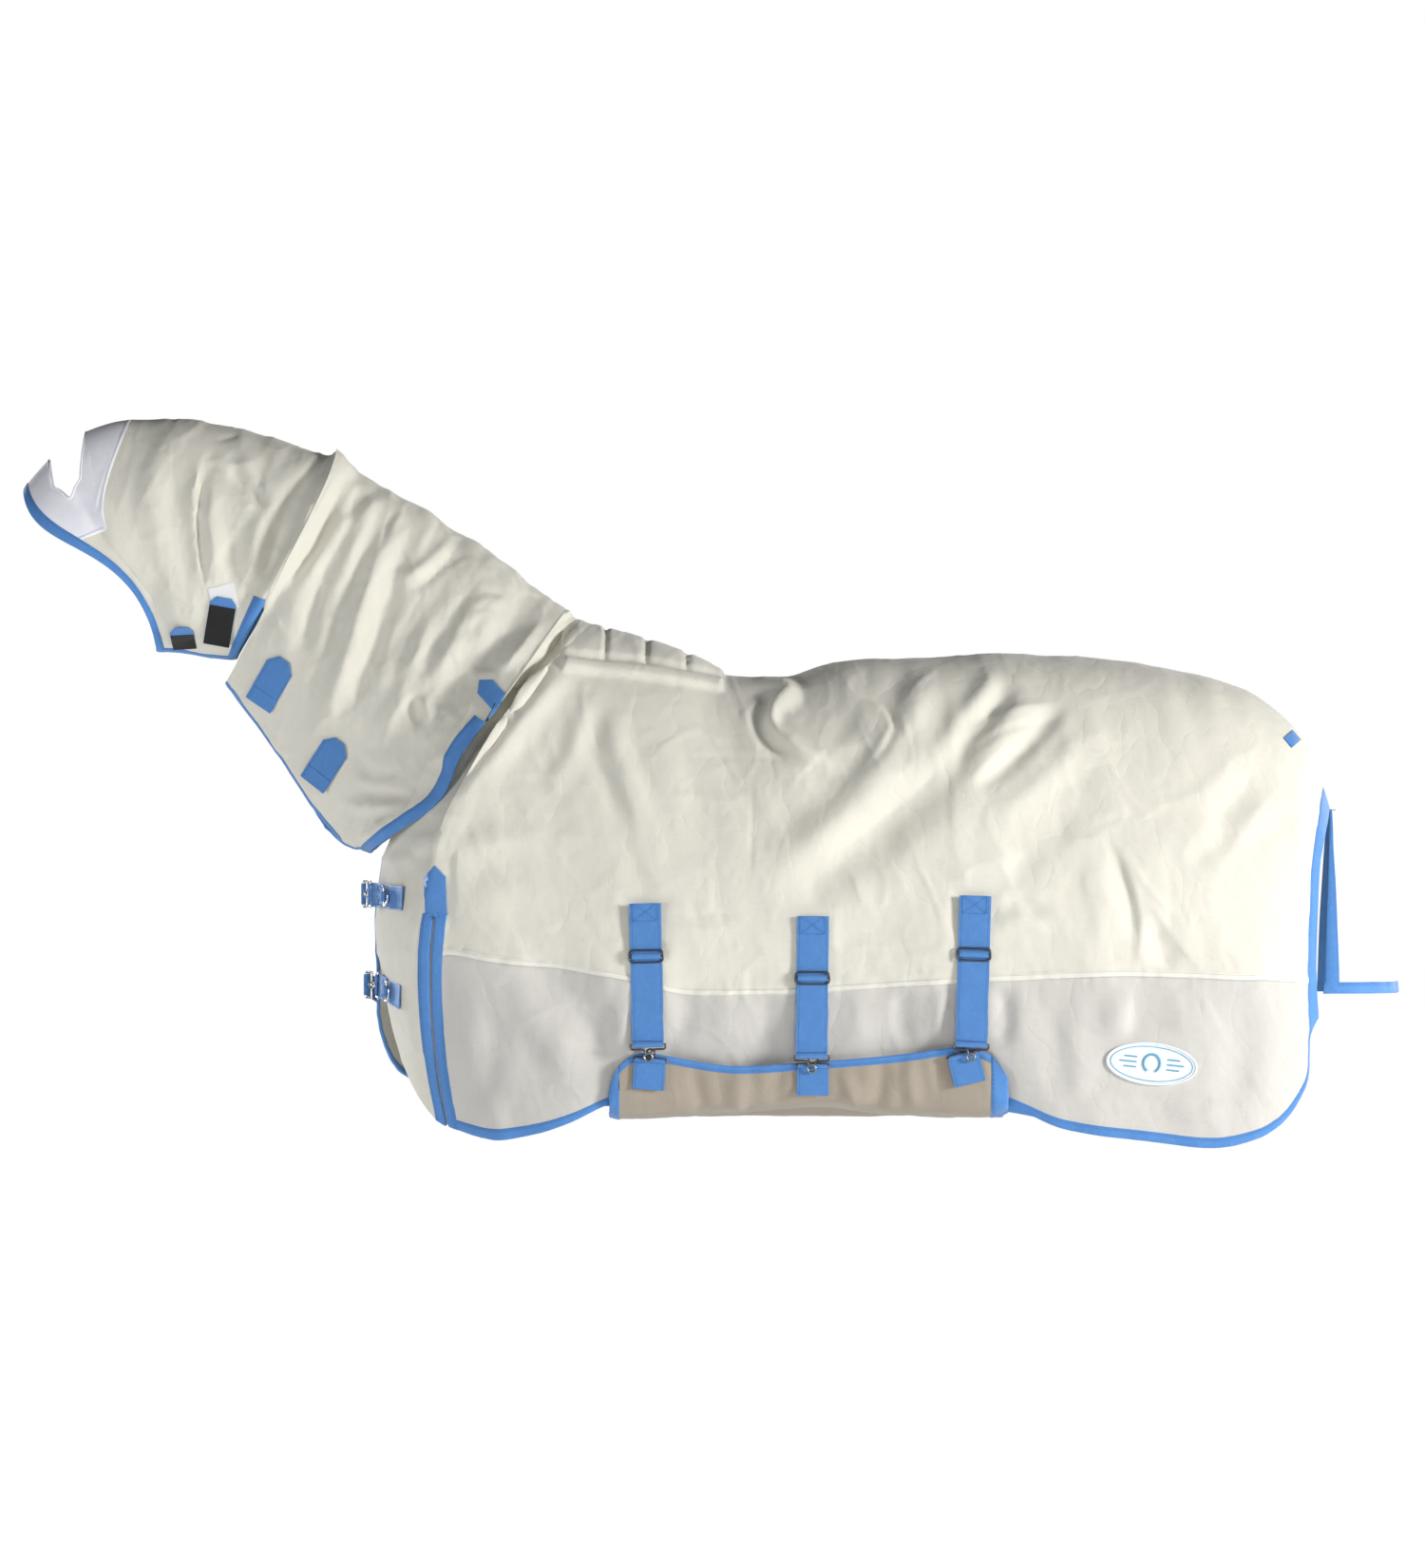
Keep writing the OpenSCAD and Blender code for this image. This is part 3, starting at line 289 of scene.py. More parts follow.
NECK_FOLDS = [
    ("soft", 8.0, 12, [(-648, 352), (-679, 297), (-714, 217), (-767, 138), (-806, 76), (-822, 30)]),
    ("soft", -9.0, 11, [(-634, 330), (-652, 285), (-690, 210), (-738, 138)]),
    ("soft", -6.0, 10, [(-608, 306), (-628, 280), (-640, 250)]),
    ("soft", 6.0, 12, [(-580, 300), (-606, 262), (-628, 200), (-650, 130)]),
    ("soft", -6.0, 14, [(-650, 240), (-680, 150), (-706, 60), (-724, 0)]),
    ("soft", 9.0, 15, [(-546, 288), (-566, 250), (-590, 200), (-626, 76), (-661, -30), (-692, -100)]),
    ("line", -6.0, 6.5, [(-560, 268), (-573, 250), (-580, 222), (-592, 196)]),
    ("soft", -6.5, 15, [(-530, 250), (-550, 190), (-580, 100), (-606, 10), (-640, -80)]),
    ("line", -5.0, 6.0, [(-452, 222), (-474, 196), (-502, 166), (-528, 146), (-550, 138)]),
    ("soft", 5.0, 10, [(-470, 236), (-496, 196), (-528, 170), (-560, 160)]),
    ("line", -4.0, 5.0, [(-446, 208), (-470, 186), (-486, 184)]),
    ("soft", 6.0, 16, [(-500, 140), (-520, 60), (-552, -30), (-596, -110)]),
    ("soft", -7.0, 18, [(-352, 142), (-380, 96), (-405, 58), (-467, -12), (-530, -84)]),
    ("soft", 6.0, 15, [(-400, 150), (-436, 100), (-480, 40), (-520, -24)]),
    ("soft", -4.5, 11, [(-412, 122), (-440, 84), (-470, 60)]),
    ("soft", 5.0, 12, [(-318, 106), (-352, 60), (-386, 16), (-420, -30)]),
    ("line", -4.0, 5.0, [(-382, 134), (-404, 132), (-430, 140)]),
    ("soft", 4.5, 9, [(-512, -20), (-506, -50), (-500, -72)]),
    ("soft", -5.0, 9, [(-534, -18), (-528, -52), (-520, -80)]),
    ("soft", -3.5, 10, [(-664, -168), (-600, -176), (-520, -184)]),
    ("soft", 3.0, 10, [(-650, -190), (-600, -200), (-540, -196)]),
    ("soft", -3.0, 12, [(-640, -120), (-590, -150), (-540, -140)]),
    ("soft", -5.0, 14, [(-772, 60), (-740, 10), (-720, -60)]),
    ("soft", 5.0, 12, [(-790, 40), (-772, -10), (-754, -60)]),
    ("line", 2.0, 4.0, [(-566, -120), (-552, -134), (-556, -152), (-570, -156), (-582, -142)]),
    ("soft", -4.0, 12, [(-480, -120), (-500, -160), (-530, -200)]),
    ("soft", 3.6, 12, [(-450, -60), (-476, -110), (-500, -140)]),
]
HOOD_FOLDS = [
    ("step", -7.0, 8, [(-838, 380), (-862, 350), (-871, 320), (-876, 252), (-868, 173), (-858, 118)]),
    ("soft", 5.0, 12, [(-850, 340), (-852, 260), (-846, 180), (-840, 140)]),
    ("soft", 4.5, 14, [(-820, 392), (-800, 350), (-790, 300), (-796, 240)]),
    ("soft", -6.0, 13, [(-828, 340), (-800, 310), (-776, 284), (-767, 250)]),
    ("line", -4.0, 6, [(-846, 376), (-826, 386), (-806, 388)]),
    ("soft", -9.0, 13, [(-679, 341), (-704, 312), (-723, 286), (-745, 235), (-760, 170), (-772, 110)]),
    ("soft", 8.0, 11, [(-652, 352), (-684, 300), (-716, 222), (-758, 150), (-780, 100)]),
    ("soft", 5.0, 14, [(-740, 350), (-764, 300), (-786, 220), (-800, 150)]),
    ("soft", -4.0, 14, [(-812, 240), (-816, 190), (-812, 140)]),
    ("soft", 3.0, 18, [(-940, 380), (-944, 300), (-930, 200), (-900, 110)]),
    ("soft", -3.0, 18, [(-905, 380), (-908, 300), (-900, 220), (-884, 130)]),
    ("line", 1.6, 3.6, [(-978, 404), (-1000, 340), (-1024, 270), (-1042, 222)]),
    ("line", 1.2, 3.2, [(-996, 398), (-1012, 350), (-1032, 290), (-1040, 236)]),
    ("line", 1.2, 3.2, [(-968, 380), (-984, 320), (-1004, 250)]),
    ("line", -1.4, 3.2, [(-988, 380), (-1006, 320), (-1030, 250)]),
    ("soft", -3.0, 12, [(-1090, 300), (-1050, 270), (-1010, 200)]),
]
WRAP_FOLDS = [
    ("soft", 4.0, 12, [(-150, -585), (-140, -620), (-120, -680)]),
    ("soft", -4.0, 12, [(-90, -600), (-84, -640), (-70, -690)]),
    ("soft", 4.0, 14, [(-30, -606), (-20, -640), (-24, -690)]),
    ("soft", -3.0, 12, [(50, -604), (40, -640), (48, -680)]),
    ("soft", 4.0, 12, [(140, -598), (150, -630), (170, -680)]),
    ("soft", -4.5, 12, [(200, -592), (206, -630), (196, -680)]),
    ("soft", 4.0, 12, [(262, -586), (250, -620), (260, -680)]),
    ("soft", -3.4, 10, [(300, -580), (296, -610), (306, -660)]),
    ("soft", 3.0, 10, [(360, -585), (368, -620), (380, -660)]),
]
# Places where the cloth lies flat under something sewn on: x, z, half width, half height.
CALM = [
    (630, -603, 84, 44), (-496, -325, 26, 44), (855, -93, 24, 24), (-166, -370, 34, 28),
    (98, -390, 34, 28), (353, -358, 34, 28), (-406, -24, 28, 34),
    (-752, -4, 44, 46), (-667, -131, 44, 46), (-838, 96, 34, 46), (-897, 70, 30, 30),
]
# Share of a fold's length over which it fades out at each end.
FADE = 0.34


def fold_sum(x, z, folds):
    """Height that all the folds together give the cloth at x, z."""
    out = np.zeros_like(x)
    for kind, height, width, points in folds:
        line = spline(points, 6)
        reach = width * 4
        lo, hi = line.min(0) - reach, line.max(0) + reach
        near = np.where((x > lo[0]) & (x < hi[0]) & (z > lo[1]) & (z < hi[1]))[0]
        if len(near) == 0:
            continue
        px, pz = x[near], z[near]
        seg = np.diff(line, axis=0)
        size = np.linalg.norm(seg, axis=1)
        far = np.concatenate([[0], np.cumsum(size)])
        best = np.full(len(near), 1e9)
        side = np.zeros(len(near))
        along = np.zeros(len(near))
        for k in range(len(seg)):
            qx, qz = px - line[k, 0], pz - line[k, 1]
            t = np.clip((qx * seg[k, 0] + qz * seg[k, 1]) / size[k]**2, 0, 1)
            dx, dz = qx - t * seg[k, 0], qz - t * seg[k, 1]
            d = np.hypot(dx, dz)
            closer = d < best
            best = np.where(closer, d, best)
            s = (seg[k, 0] * qz - seg[k, 1] * qx) / size[k]
            side = np.where(closer, np.sign(s) * d, side)
            along = np.where(closer, (far[k] + t * size[k]) / far[-1], along)
        fade = smooth(along / FADE) * smooth((1 - along) / FADE)
        if kind == "soft":
            f = np.exp(-(best / width)**2) - 0.28 * np.exp(-((best - 1.9 * width) / width)**2)
        elif kind == "line":
            f = np.exp(-np.sqrt(best**2 + (0.25 * width)**2) / width * 1.3)
        else:
            f = np.exp(-np.abs(side) / (2.4 * width)) * np.tanh(side / (0.4 * width)) * 0.7
        out[near] += height * f * fade
    return out


def calm(x, z):
    """1 on free cloth, down to 0.12 under the pieces sewn on it."""
    keep = np.ones_like(x)
    for cx, cz, w, h in CALM:
        d = np.maximum(np.abs(x - cx) / w, np.abs(z - cz) / h)
        keep = keep * (0.12 + 0.88 * smooth((d - 0.85) / 0.6))
    return keep


def body_swell(x, y, z, side):
    """Body cover: drift, creases, folds, the puckered seam and the wither pad's sewn boxes."""
    seed = 10 if side < 0 else 40
    big = 3.2 * grain(x / 170, z / 240, seed) + 1.6 * grain((x + 0.5 * z) / 80, (z - 0.3 * x) / 150, seed + 1)
    mid = 0.9 * grain((x + 0.3 * z) / 34, (z - 0.2 * x) / 60, seed + 2)
    fine = 0.28 * grain(x / 11, z / 15, seed + 3) + 0.16 * grain(x / 5, z / 6, seed + 4)
    seam = np.interp(x, [-460, -285, -140, 20, 180, 320, 500, 725, 890],
                     [-428, -460, -491, -482, -468, -460, -466, -471, -472])
    pucker = 1.0 * np.exp(-np.abs(z - seam) / 13) * grain(x / 9, z / 30, seed + 5)
    pucker = pucker + 1.2 * np.exp(-((z - seam) / 9)**2)
    folds = fold_sum(x, z, BODY_FOLDS)
    where = 0.4 + 0.6 * smooth(0.5 + 1.2 * grain(x / 120, z / 120, seed + 7))
    fine = fine + 1.5 * where * crumple((x + 0.4 * z) / 62, (z - 0.35 * x) / 95, seed + 8)
    low = 12 - 0.14 * (x + 290)
    pad = 8.5 * smooth((x + 300) / 7) * smooth((-42 - x) / 7) * smooth((z - low) / 7)
    pad = pad - 6.0 * np.exp(-((z - low - 24) / 4.2)**2) * smooth((x + 300) / 7) * smooth((-42 - x) / 7)
    for cut in (-232, -168, -104):
        pad = pad - 5.0 * np.exp(-((x - cut) / 4.4)**2) * smooth((z - low - 20) / 8)
    if side > 0:
        folds = 0.75 * folds
    return (1.3 * big + 1.3 * mid + fine + pucker + 1.2 * folds) * calm(x, z) + pad


def front_swell(x, y, z, side):
    """Hood and neck cover: folds gather towards the crest and fan out to the throat."""
    seed = 70 if side < 0 else 90
    back = smooth((x + 0.5 * z + 600) / 70)
    still = smooth((x + 1005) / 60)
    a, b = 0.86 * x - 0.50 * z, 0.50 * x + 0.86 * z
    neck = 4.2 * grain(a / 52, b / 190, seed) + 2.4 * grain(a / 26, b / 90, seed + 1)
    neck = neck + 0.8 * grain(a / 13, b / 32, seed + 2)
    hood = (0.5 + 2.6 * still) * grain(x / 56, z / 130, seed + 5)
    hood = hood + 1.7 * still * grain(x / 26, z / 70, seed + 6)
    fine = (0.12 + 0.4 * still) * grain(x / 9, z / 12, seed + 3)
    fine = fine + 2.2 * still * crumple(a / 44, b / 85, seed + 8)
    folds = fold_sum(x, z, NECK_FOLDS + HOOD_FOLDS)
    if side > 0:
        folds = 0.85 * folds
    return (1.15 * back * neck + (1 - back) * hood + fine + 1.25 * folds) * calm(x, z)


class Skin:
    """A cloth surface: u runs along the stations, w down the grid lines."""

    def __init__(self, rows, lines, side, swell, bulge=0):
        columns = 11
        self.rows = np.hstack([rows, np.zeros((len(rows), columns - rows.shape[1]))])
        self.rows[:, columns - 1] = bulge
        self.lines, self.side, self.swell = np.asarray(lines, float), side, swell

    def down(self, u, w):
        """Share of the way from top to edge at which line w lies on station u."""
        line = hermite(self.lines, u)
        w = np.clip(w, 0, line.shape[-1] - 1)
        k = np.minimum(w.astype(int), line.shape[-1] - 2)
        t = w - k
        a = np.take_along_axis(line, k[..., None], -1)[..., 0]
        b = np.take_along_axis(line, k[..., None] + 1, -1)[..., 0]
        return a * (1 - t) + b * t

    def spot(self, u, v):
        """Points at station u, share v of the way round, without swell or folds."""
        s = hermite(self.rows, u)
        t = np.radians(s[..., 7])
        h = (1 - np.cos(v * t)) / (1 - np.cos(t))
        k = 10.4 * h * (1 - h) * (1 - 2 * h)

        def through(a, m, b):
            return a * (1 - h) * (1 - 2 * h) + m * 4 * h * (1 - h) + b * h * (2 * h - 1)
        low = np.where(h > 0.5, np.sin(2 * math.pi * (h - 0.5))**2, 0)
        x = through(s[..., 0], s[..., 2], s[..., 4]) + k * s[..., 8] + low * s[..., 10]
        z = through(s[..., 1], s[..., 3], s[..., 5]) + k * s[..., 9]
        y = -s[..., 6] * np.maximum(np.sin(v * t), 0)**0.7
        return np.stack([x, y, z], -1)

    def frame(self, u, w):
        """Points without swell or folds, and the directions out of the cloth there."""
        u, w = np.broadcast_arrays(np.asarray(u, float), np.asarray(w, float))
        v = self.down(u, w)
        p = self.spot(u, v)
        n = len(self.rows) - 1
        across = self.spot(np.minimum(u + 0.3, n), v) - self.spot(np.maximum(u - 0.3, 0), v)
        down = self.spot(u, np.minimum(v + 0.01, 1)) - self.spot(u, np.maximum(v - 0.01, 0))
        c = np.cross(down, across)
        c[..., 1] = np.where(v < 1e-6, 0, c[..., 1])
        c /= np.linalg.norm(c, axis=-1, keepdims=True) + 1e-12
        return p, c

    def at(self, u, w, lift):
        """Points lift mm out from the folded cloth. The far side is mirrored."""
        p, c = self.frame(u, w)
        x, y, z = p[..., 0], p[..., 1], p[..., 2]
        mine = self.swell(x.ravel(), y.ravel(), z.ravel(), self.side).reshape(x.shape)
        edge = np.abs(y) < 60
        if edge.any():
            other = self.swell(x[edge], y[edge], z[edge], -self.side)
            k = 0.5 + 0.5 * smooth(np.abs(y[edge]) / 60)
            mine[edge] = mine[edge] * k + other * (1 - k)
        q = p + c * (mine + lift)[..., None]
        if self.side > 0:
            q = q * np.array([1, -1, 1])
        return q


near = Skin(BODY, body_lines(BODY), -1, body_swell)
far = Skin(BODY_FAR, body_lines(BODY_FAR), 1, body_swell)
neck_near, neck_far = [Skin(NECK, NECK_LINES, side, front_swell, NECK_BULGE) for side in (-1, 1)]
hood_near, hood_far = [Skin(HOOD, HOOD_LINES, side, front_swell) for side in (-1, 1)]

# From a skin to the cloth's outer and inner face, mm.
OUTSIDE, INSIDE = 3.4, 2.0
FAR_MIRROR = np.array([1, -1, 1])


# ---------------------------------------------------------------- meshes
def mesh(name, points, faces, mat, uv=None, angle=None):
    """A mesh from points in mm. uv is one pair in metres for each point."""
    data = bpy.data.meshes.new(name)
    data.from_pydata((np.asarray(points, float) * 0.001).tolist(), [], [list(map(int, f)) for f in faces])
    if uv is not None:
        layer = data.uv_layers.new(name="cloth")
        index = np.zeros(len(data.loops), np.int32)
        data.loops.foreach_get("vertex_index", index)
        layer.data.foreach_set("uv", (np.asarray(uv, float)[index]).astype(np.float32).ravel())
    data.materials.append(mat)
    data.validate()
    data.polygons.foreach_set("use_smooth", [True] * len(data.polygons))
    if angle:
        data.set_sharp_from_angle(angle=math.radians(angle))
    data.update()
    o = bpy.data.objects.new(name, data)
    bpy.context.scene.collection.objects.link(o)
    return o


def steps(skin, gap):
    """How finely each station and line interval is cut, so that cells stay about gap across."""
    n, m = skin.lines.shape
    p, _ = skin.frame(np.arange(n)[:, None] + np.zeros((1, m)), np.zeros((n, 1)) + np.arange(m)[None])
    du = np.linalg.norm(np.diff(p, axis=0), axis=-1).max(1)
    dw = np.linalg.norm(np.diff(p, axis=1), axis=-1).max(0)
    return [max(1, int(round(d / gap))) for d in du], [max(1, int(round(d / gap))) for d in dw]


def cuts(counts):
    """Places along a row of intervals cut into so many cells, and each cell's interval."""
    places = [[k + t / n for t in range(n)] for k, n in enumerate(counts)]
    return np.concatenate(places + [[len(counts)]]), np.repeat(np.arange(len(counts)), counts)


def side_walls(front, size):
    """Faces that close a sheet's open edges. Its back's points come size after its front's."""
    edges = {(f[k], f[(k + 1) % 4]): True for f in front.tolist() for k in range(4)}
    return np.array([(q, p, p + size, q + size) for p, q in edges if (q, p) not in edges])


def panel(name, skins, cells, mat, gap=6.0, top=OUTSIDE, bottom=INSIDE):
    """Cloth made of grid cells, as one closed thin sheet. skins may be the near and far half."""
    points, uvs, faces = [], [], []
    base = 0
    for skin in skins:
        nu, nw = steps(skin, gap)
        us, iu = cuts(nu)
        ws, iw = cuts(nw)
        used = np.zeros((len(iu), len(iw)), bool)
        for a, b, c, d in cells:
            used |= ((iu >= a) & (iu < b))[:, None] & ((iw >= c) & (iw < d))[None]
        need = np.zeros((len(us), len(ws)), bool)
        for i, j in ((0, 0), (1, 0), (0, 1), (1, 1)):
            need[i:i + len(iu), j:j + len(iw)] |= used
        where = np.argwhere(need)
        size = len(where)
        number = np.full(need.shape, -1)
        number[need] = np.arange(size)
        u, w = us[where[:, 0]], ws[where[:, 1]]
        points += [skin.at(u, w, top), skin.at(u, w, bottom)]
        run = run_along(skin.spot(us, np.full(len(us), 0.5)))
        fall = run_along(skin.frame(np.full(len(ws), len(nu) / 2), ws)[0])
        uvs += [np.stack([run[where[:, 0]], fall[where[:, 1]]], 1) * 0.001] * 2
        i, j = np.argwhere(used).T
        front = np.stack([number[i, j], number[i + 1, j], number[i + 1, j + 1], number[i, j + 1]], 1)
        if skin.side > 0:
            front = front[:, ::-1]
        faces += [front + base, front[:, ::-1] + size + base, side_walls(front, size) + base]
        base += 2 * size
    return mesh(name, np.vstack(points), np.vstack(faces), mat, np.vstack(uvs), 50)


def grid_panel(name, skin, us, ws, uv_of, mat):
    """A thin closed sheet over every station in us and every line in ws."""
    U, V = np.meshgrid(us, ws, indexing="ij")
    outer, inner = [skin.at(U, V, np.full(U.shape, lift)) for lift in (OUTSIDE, INSIDE)]
    size = U.size
    index = np.arange(size).reshape(U.shape)
    front = np.stack([index[:-1, :-1], index[1:, :-1], index[1:, 1:], index[:-1, 1:]], -1).reshape(-1, 4)
    faces = np.vstack([front, front[:, ::-1] + size, side_walls(front, size)])
    points = np.vstack([outer.reshape(-1, 3), inner.reshape(-1, 3)])
    uv = uv_of(outer, V).reshape(-1, 2)
    return flip_out(mesh(name, points, faces, mat, np.vstack([uv, uv]), 50))


def tube(name, rings, mat, uv=None, closed=False):
    """A section carried along a line: rings is n sections of m points. closed joins the ends."""
    n, m = rings.shape[:2]
    faces = []
    for i in range(n if closed else n - 1):
        a, b = i * m, (i + 1) % n * m
        for j in range(m):
            k = (j + 1) % m
            faces.append((a + j, a + k, b + k, b + j))
    if not closed:
        faces.append(tuple(range(m))[::-1])
        faces.append(tuple((n - 1) * m + k for k in range(m)))
    uv = None if uv is None else uv.reshape(-1, 2)
    return flip_out(mesh(name, rings.reshape(-1, 3), faces, mat, uv, 60 if closed else 50))


def tube_uv(line, across, sections):
    """uv in metres: along the line, and the given values across each section."""
    run = run_along(line) * 0.001
    return np.stack([np.broadcast_to(run[:, None], sections), np.broadcast_to(across, sections)], -1)


def join(name, objects):
    """Several meshes as one object."""
    data = bpy.data.meshes.new(name)
    points, faces, uvs, mats, index, base = [], [], [], [], [], 0
    for o in objects:
        m = o.data
        slots = []
        for mat in m.materials:
            if mat not in mats:
                mats.append(mat)
            slots.append(mats.index(mat))
        points += [tuple(v.co) for v in m.vertices]
        layer = m.uv_layers.get("cloth")
        for p in m.polygons:
            faces.append([v + base for v in p.vertices])
            index.append(slots[p.material_index])
            uvs += [tuple(layer.data[k].uv) if layer else (0, 0) for k in p.loop_indices]
        base += len(m.vertices)
        bpy.data.objects.remove(o)
    data.from_pydata(points, [], faces)
    layer = data.uv_layers.new(name="cloth")
    layer.data.foreach_set("uv", np.array(uvs, np.float32).ravel())
    for mat in mats:
        data.materials.append(mat)
    data.polygons.foreach_set("material_index", index)
    data.polygons.foreach_set("use_smooth", [True] * len(data.polygons))
    data.set_sharp_from_angle(angle=math.radians(50))
    data.update()
    o = bpy.data.objects.new(name, data)
    bpy.context.scene.collection.objects.link(o)
    return o


# Section of a folded binding: share of its width, and lift from the cloth's back.
FOLD = [(0.00, 3.3), (0.03, 4.3), (0.12, 4.7), (0.35, 4.9), (0.65, 5.0), (0.88, 4.9), (0.97, 4.4),
        (1.02, 3.0), (1.02, 1.6), (0.97, 0.4), (0.85, 0.0), (0.5, -0.1), (0.15, 0.1), (0.03, 0.6), (0.0, 1.8)]


def evenly(a, b, gap, place):
    """Numbers from a to b whose places on the cloth are about gap apart."""
    tries = np.linspace(a, b, 400)
    run = run_along(place(tries))
    n = max(2, int(round(run[-1] / gap)))
    return np.interp(np.linspace(0, run[-1], n + 1), run, tries)


def fine(a, b, skin, w, gap=6.0):
    """Station numbers from a to b, about gap apart on line w."""
    return evenly(a, b, gap, lambda u: skin.frame(u, np.full(len(u), float(w)))[0])


def fine_w(a, b, skin, u, gap=6.0):
    """Line numbers from a to b, about gap apart at station u."""
    return evenly(a, b, gap, lambda w: skin.frame(np.full(len(w), float(u)), w)[0])


def band(name, skin, start, end, a, b, fixed="w", at=None):
    """A folded binding between lines start and end, from station a to b. The edge is at end.

    With fixed="u" it lies between stations start and end, from line a to b."""
    along = (fine if fixed == "w" else fine_w)(a, b, skin, end if at is None else at)
    share, lift = np.array(FOLD).T
    held = np.clip(share, 0, 1)
    A, S = np.meshgrid(along, start + (end - start) * held, indexing="ij")
    lift = np.broadcast_to(lift, A.shape)

    def place(across):
        return skin.at(A, across, lift) if fixed == "w" else skin.at(across, A, lift)

    d = place(np.full_like(S, end)) - place(np.full_like(S, start))
    p = place(S) + d * (share - held)[None, :, None]
    wide = np.linalg.norm(d[:, 0], axis=-1) * 0.001
    return tube(name, p, BINDING, tube_uv(p.mean(1), wide[:, None] * held[None], A.shape))


def flip_out(o):
    """Turns a closed mesh's faces outwards."""
    m = o.data
    co = np.zeros(len(m.vertices) * 3)
    m.vertices.foreach_get("co", co)
    co = co.reshape(-1, 3)
    m.calc_loop_triangles()
    t = np.zeros(len(m.loop_triangles) * 3, np.int32)
    m.loop_triangles.foreach_get("vertices", t)
    a, b, c = (co[t.reshape(-1, 3)[:, k]] for k in range(3))
    if (a * np.cross(b, c)).sum() < 0:
        m.flip_normals()
    return o


def ribbon(name, path, across, wide, thick, mat, taper=None):
    """Webbing along a path. across is its width direction, and taper its half width at each point."""
    p = np.asarray(path, float)
    n = len(p)
    tangent = np.gradient(p, axis=0)
    tangent /= np.linalg.norm(tangent, axis=1, keepdims=True)
    across = np.repeat(np.asarray(across, float)[None], n, 0)
    across = across - tangent * (across * tangent).sum(1, keepdims=True)
    across /= np.linalg.norm(across, axis=1, keepdims=True)
    normal = np.cross(tangent, across)
    w = np.full(n, wide / 2) if taper is None else np.asarray(taper, float)
    places = np.linspace(-1, 1, 9)
    section = [(c, 1) for c in places] + [(c, -1) for c in places[::-1]]
    out = np.zeros((n, len(section), 3))
    uv = np.zeros((n, len(section), 2))
    uv[..., 0] = (run_along(p) * 0.001)[:, None]
    for k, (c, s) in enumerate(section):
        rim = 0.55 if abs(c) > 0.99 else 1.0
        out[:, k] = p + across * (c * w)[:, None] + normal * (s * thick / 2 * rim)
        uv[:, k, 1] = (c + 1) * w * 0.001
    return tube(name, out, mat, uv)


def wire(name, path, radius, mat, sides=12, closed=False):
    """Round bar along a path."""
    p = np.asarray(path, float)
    t = np.roll(p, -1, 0) - np.roll(p, 1, 0) if closed else np.gradient(p, axis=0)
    t /= np.linalg.norm(t, axis=1, keepdims=True) + 1e-12
    ref = np.array([0.13, 0.31, 0.94])
    if abs(np.dot(t[0], ref)) > 0.9:
        ref = np.array([0.9, 0.4, 0.1])
    a = np.cross(t[0], ref)
    turn = 2 * math.pi * np.arange(sides) / sides
    rings = []
    for k in range(len(p)):
        a = a - t[k] * np.dot(a, t[k])
        a /= np.linalg.norm(a)
        b = np.cross(t[k], a)
        rings.append(p[k] + radius * (np.outer(np.cos(turn), a) + np.outer(np.sin(turn), b)))
    return tube(name, np.array(rings), mat, None, closed)


# ---------------------------------------------------------------- materials
def nodes_of(name):
    m = bpy.data.materials.new(name)
    m.use_nodes = True
    t = m.node_tree
    return m, t, t.nodes["Principled BSDF"]


def maths(t, op, a, b=None, clamp=False):
    n = t.nodes.new("ShaderNodeMath")
    n.operation = op
    n.use_clamp = clamp
    for k, v in enumerate([a, b]):
        if v is None:
            continue
        if isinstance(v, (int, float)):
            n.inputs[k].default_value = v
        else:
            t.links.new(v, n.inputs[k])
    return n.outputs[0]


def blendc(t, fac, a, b):
    n = t.nodes.new("ShaderNodeMix")
    n.data_type = "RGBA"
    for s, v in ((n.inputs[0], fac), (n.inputs[6], a), (n.inputs[7], b)):
        if isinstance(v, (int, float)):
            s.default_value = v
        elif isinstance(v, (tuple, list)):
            s.default_value = (*v, 1)
        else:
            t.links.new(v, s)
    return n.outputs[2]


def noise(t, scale, detail=3, rough=0.5, stretch=(1, 1, 1)):
    c = t.nodes.new("ShaderNodeTexCoord")
    m = t.nodes.new("ShaderNodeMapping")
    m.inputs["Scale"].default_value = stretch
    t.links.new(c.outputs["Object"], m.inputs["Vector"])
    n = t.nodes.new("ShaderNodeTexNoise")
    n.inputs["Scale"].default_value = scale
    n.inputs["Detail"].default_value = detail
    n.inputs["Roughness"].default_value = rough
    t.links.new(m.outputs[0], n.inputs["Vector"])
    return n.outputs["Fac"]


def uv_parts(t):
    u = t.nodes.new("ShaderNodeUVMap")
    u.uv_map = "cloth"
    s = t.nodes.new("ShaderNodeSeparateXYZ")
    t.links.new(u.outputs[0], s.inputs[0])
    return s.outputs[0], s.outputs[1]


def wave(t, x, pitch):
    """A sine of x with one turn every pitch metres."""
    return maths(t, "SINE", maths(t, "MULTIPLY", x, 2 * math.pi / pitch))


def raised(t, x):
    """A wave from -1 to 1 brought to 0 to 1."""
    return maths(t, "ADD", maths(t, "MULTIPLY", x, 0.5), 0.5)


def shade(colour, k):
    return tuple(x * k for x in colour)


def bump(t, height, strength, distance, after=None):
    b = t.nodes.new("ShaderNodeBump")
    b.inputs["Strength"].default_value = strength
    b.inputs["Distance"].default_value = distance
    t.links.new(height, b.inputs["Height"])
    if after is not None:
        t.links.new(after, b.inputs["Normal"])
    return b.outputs[0]


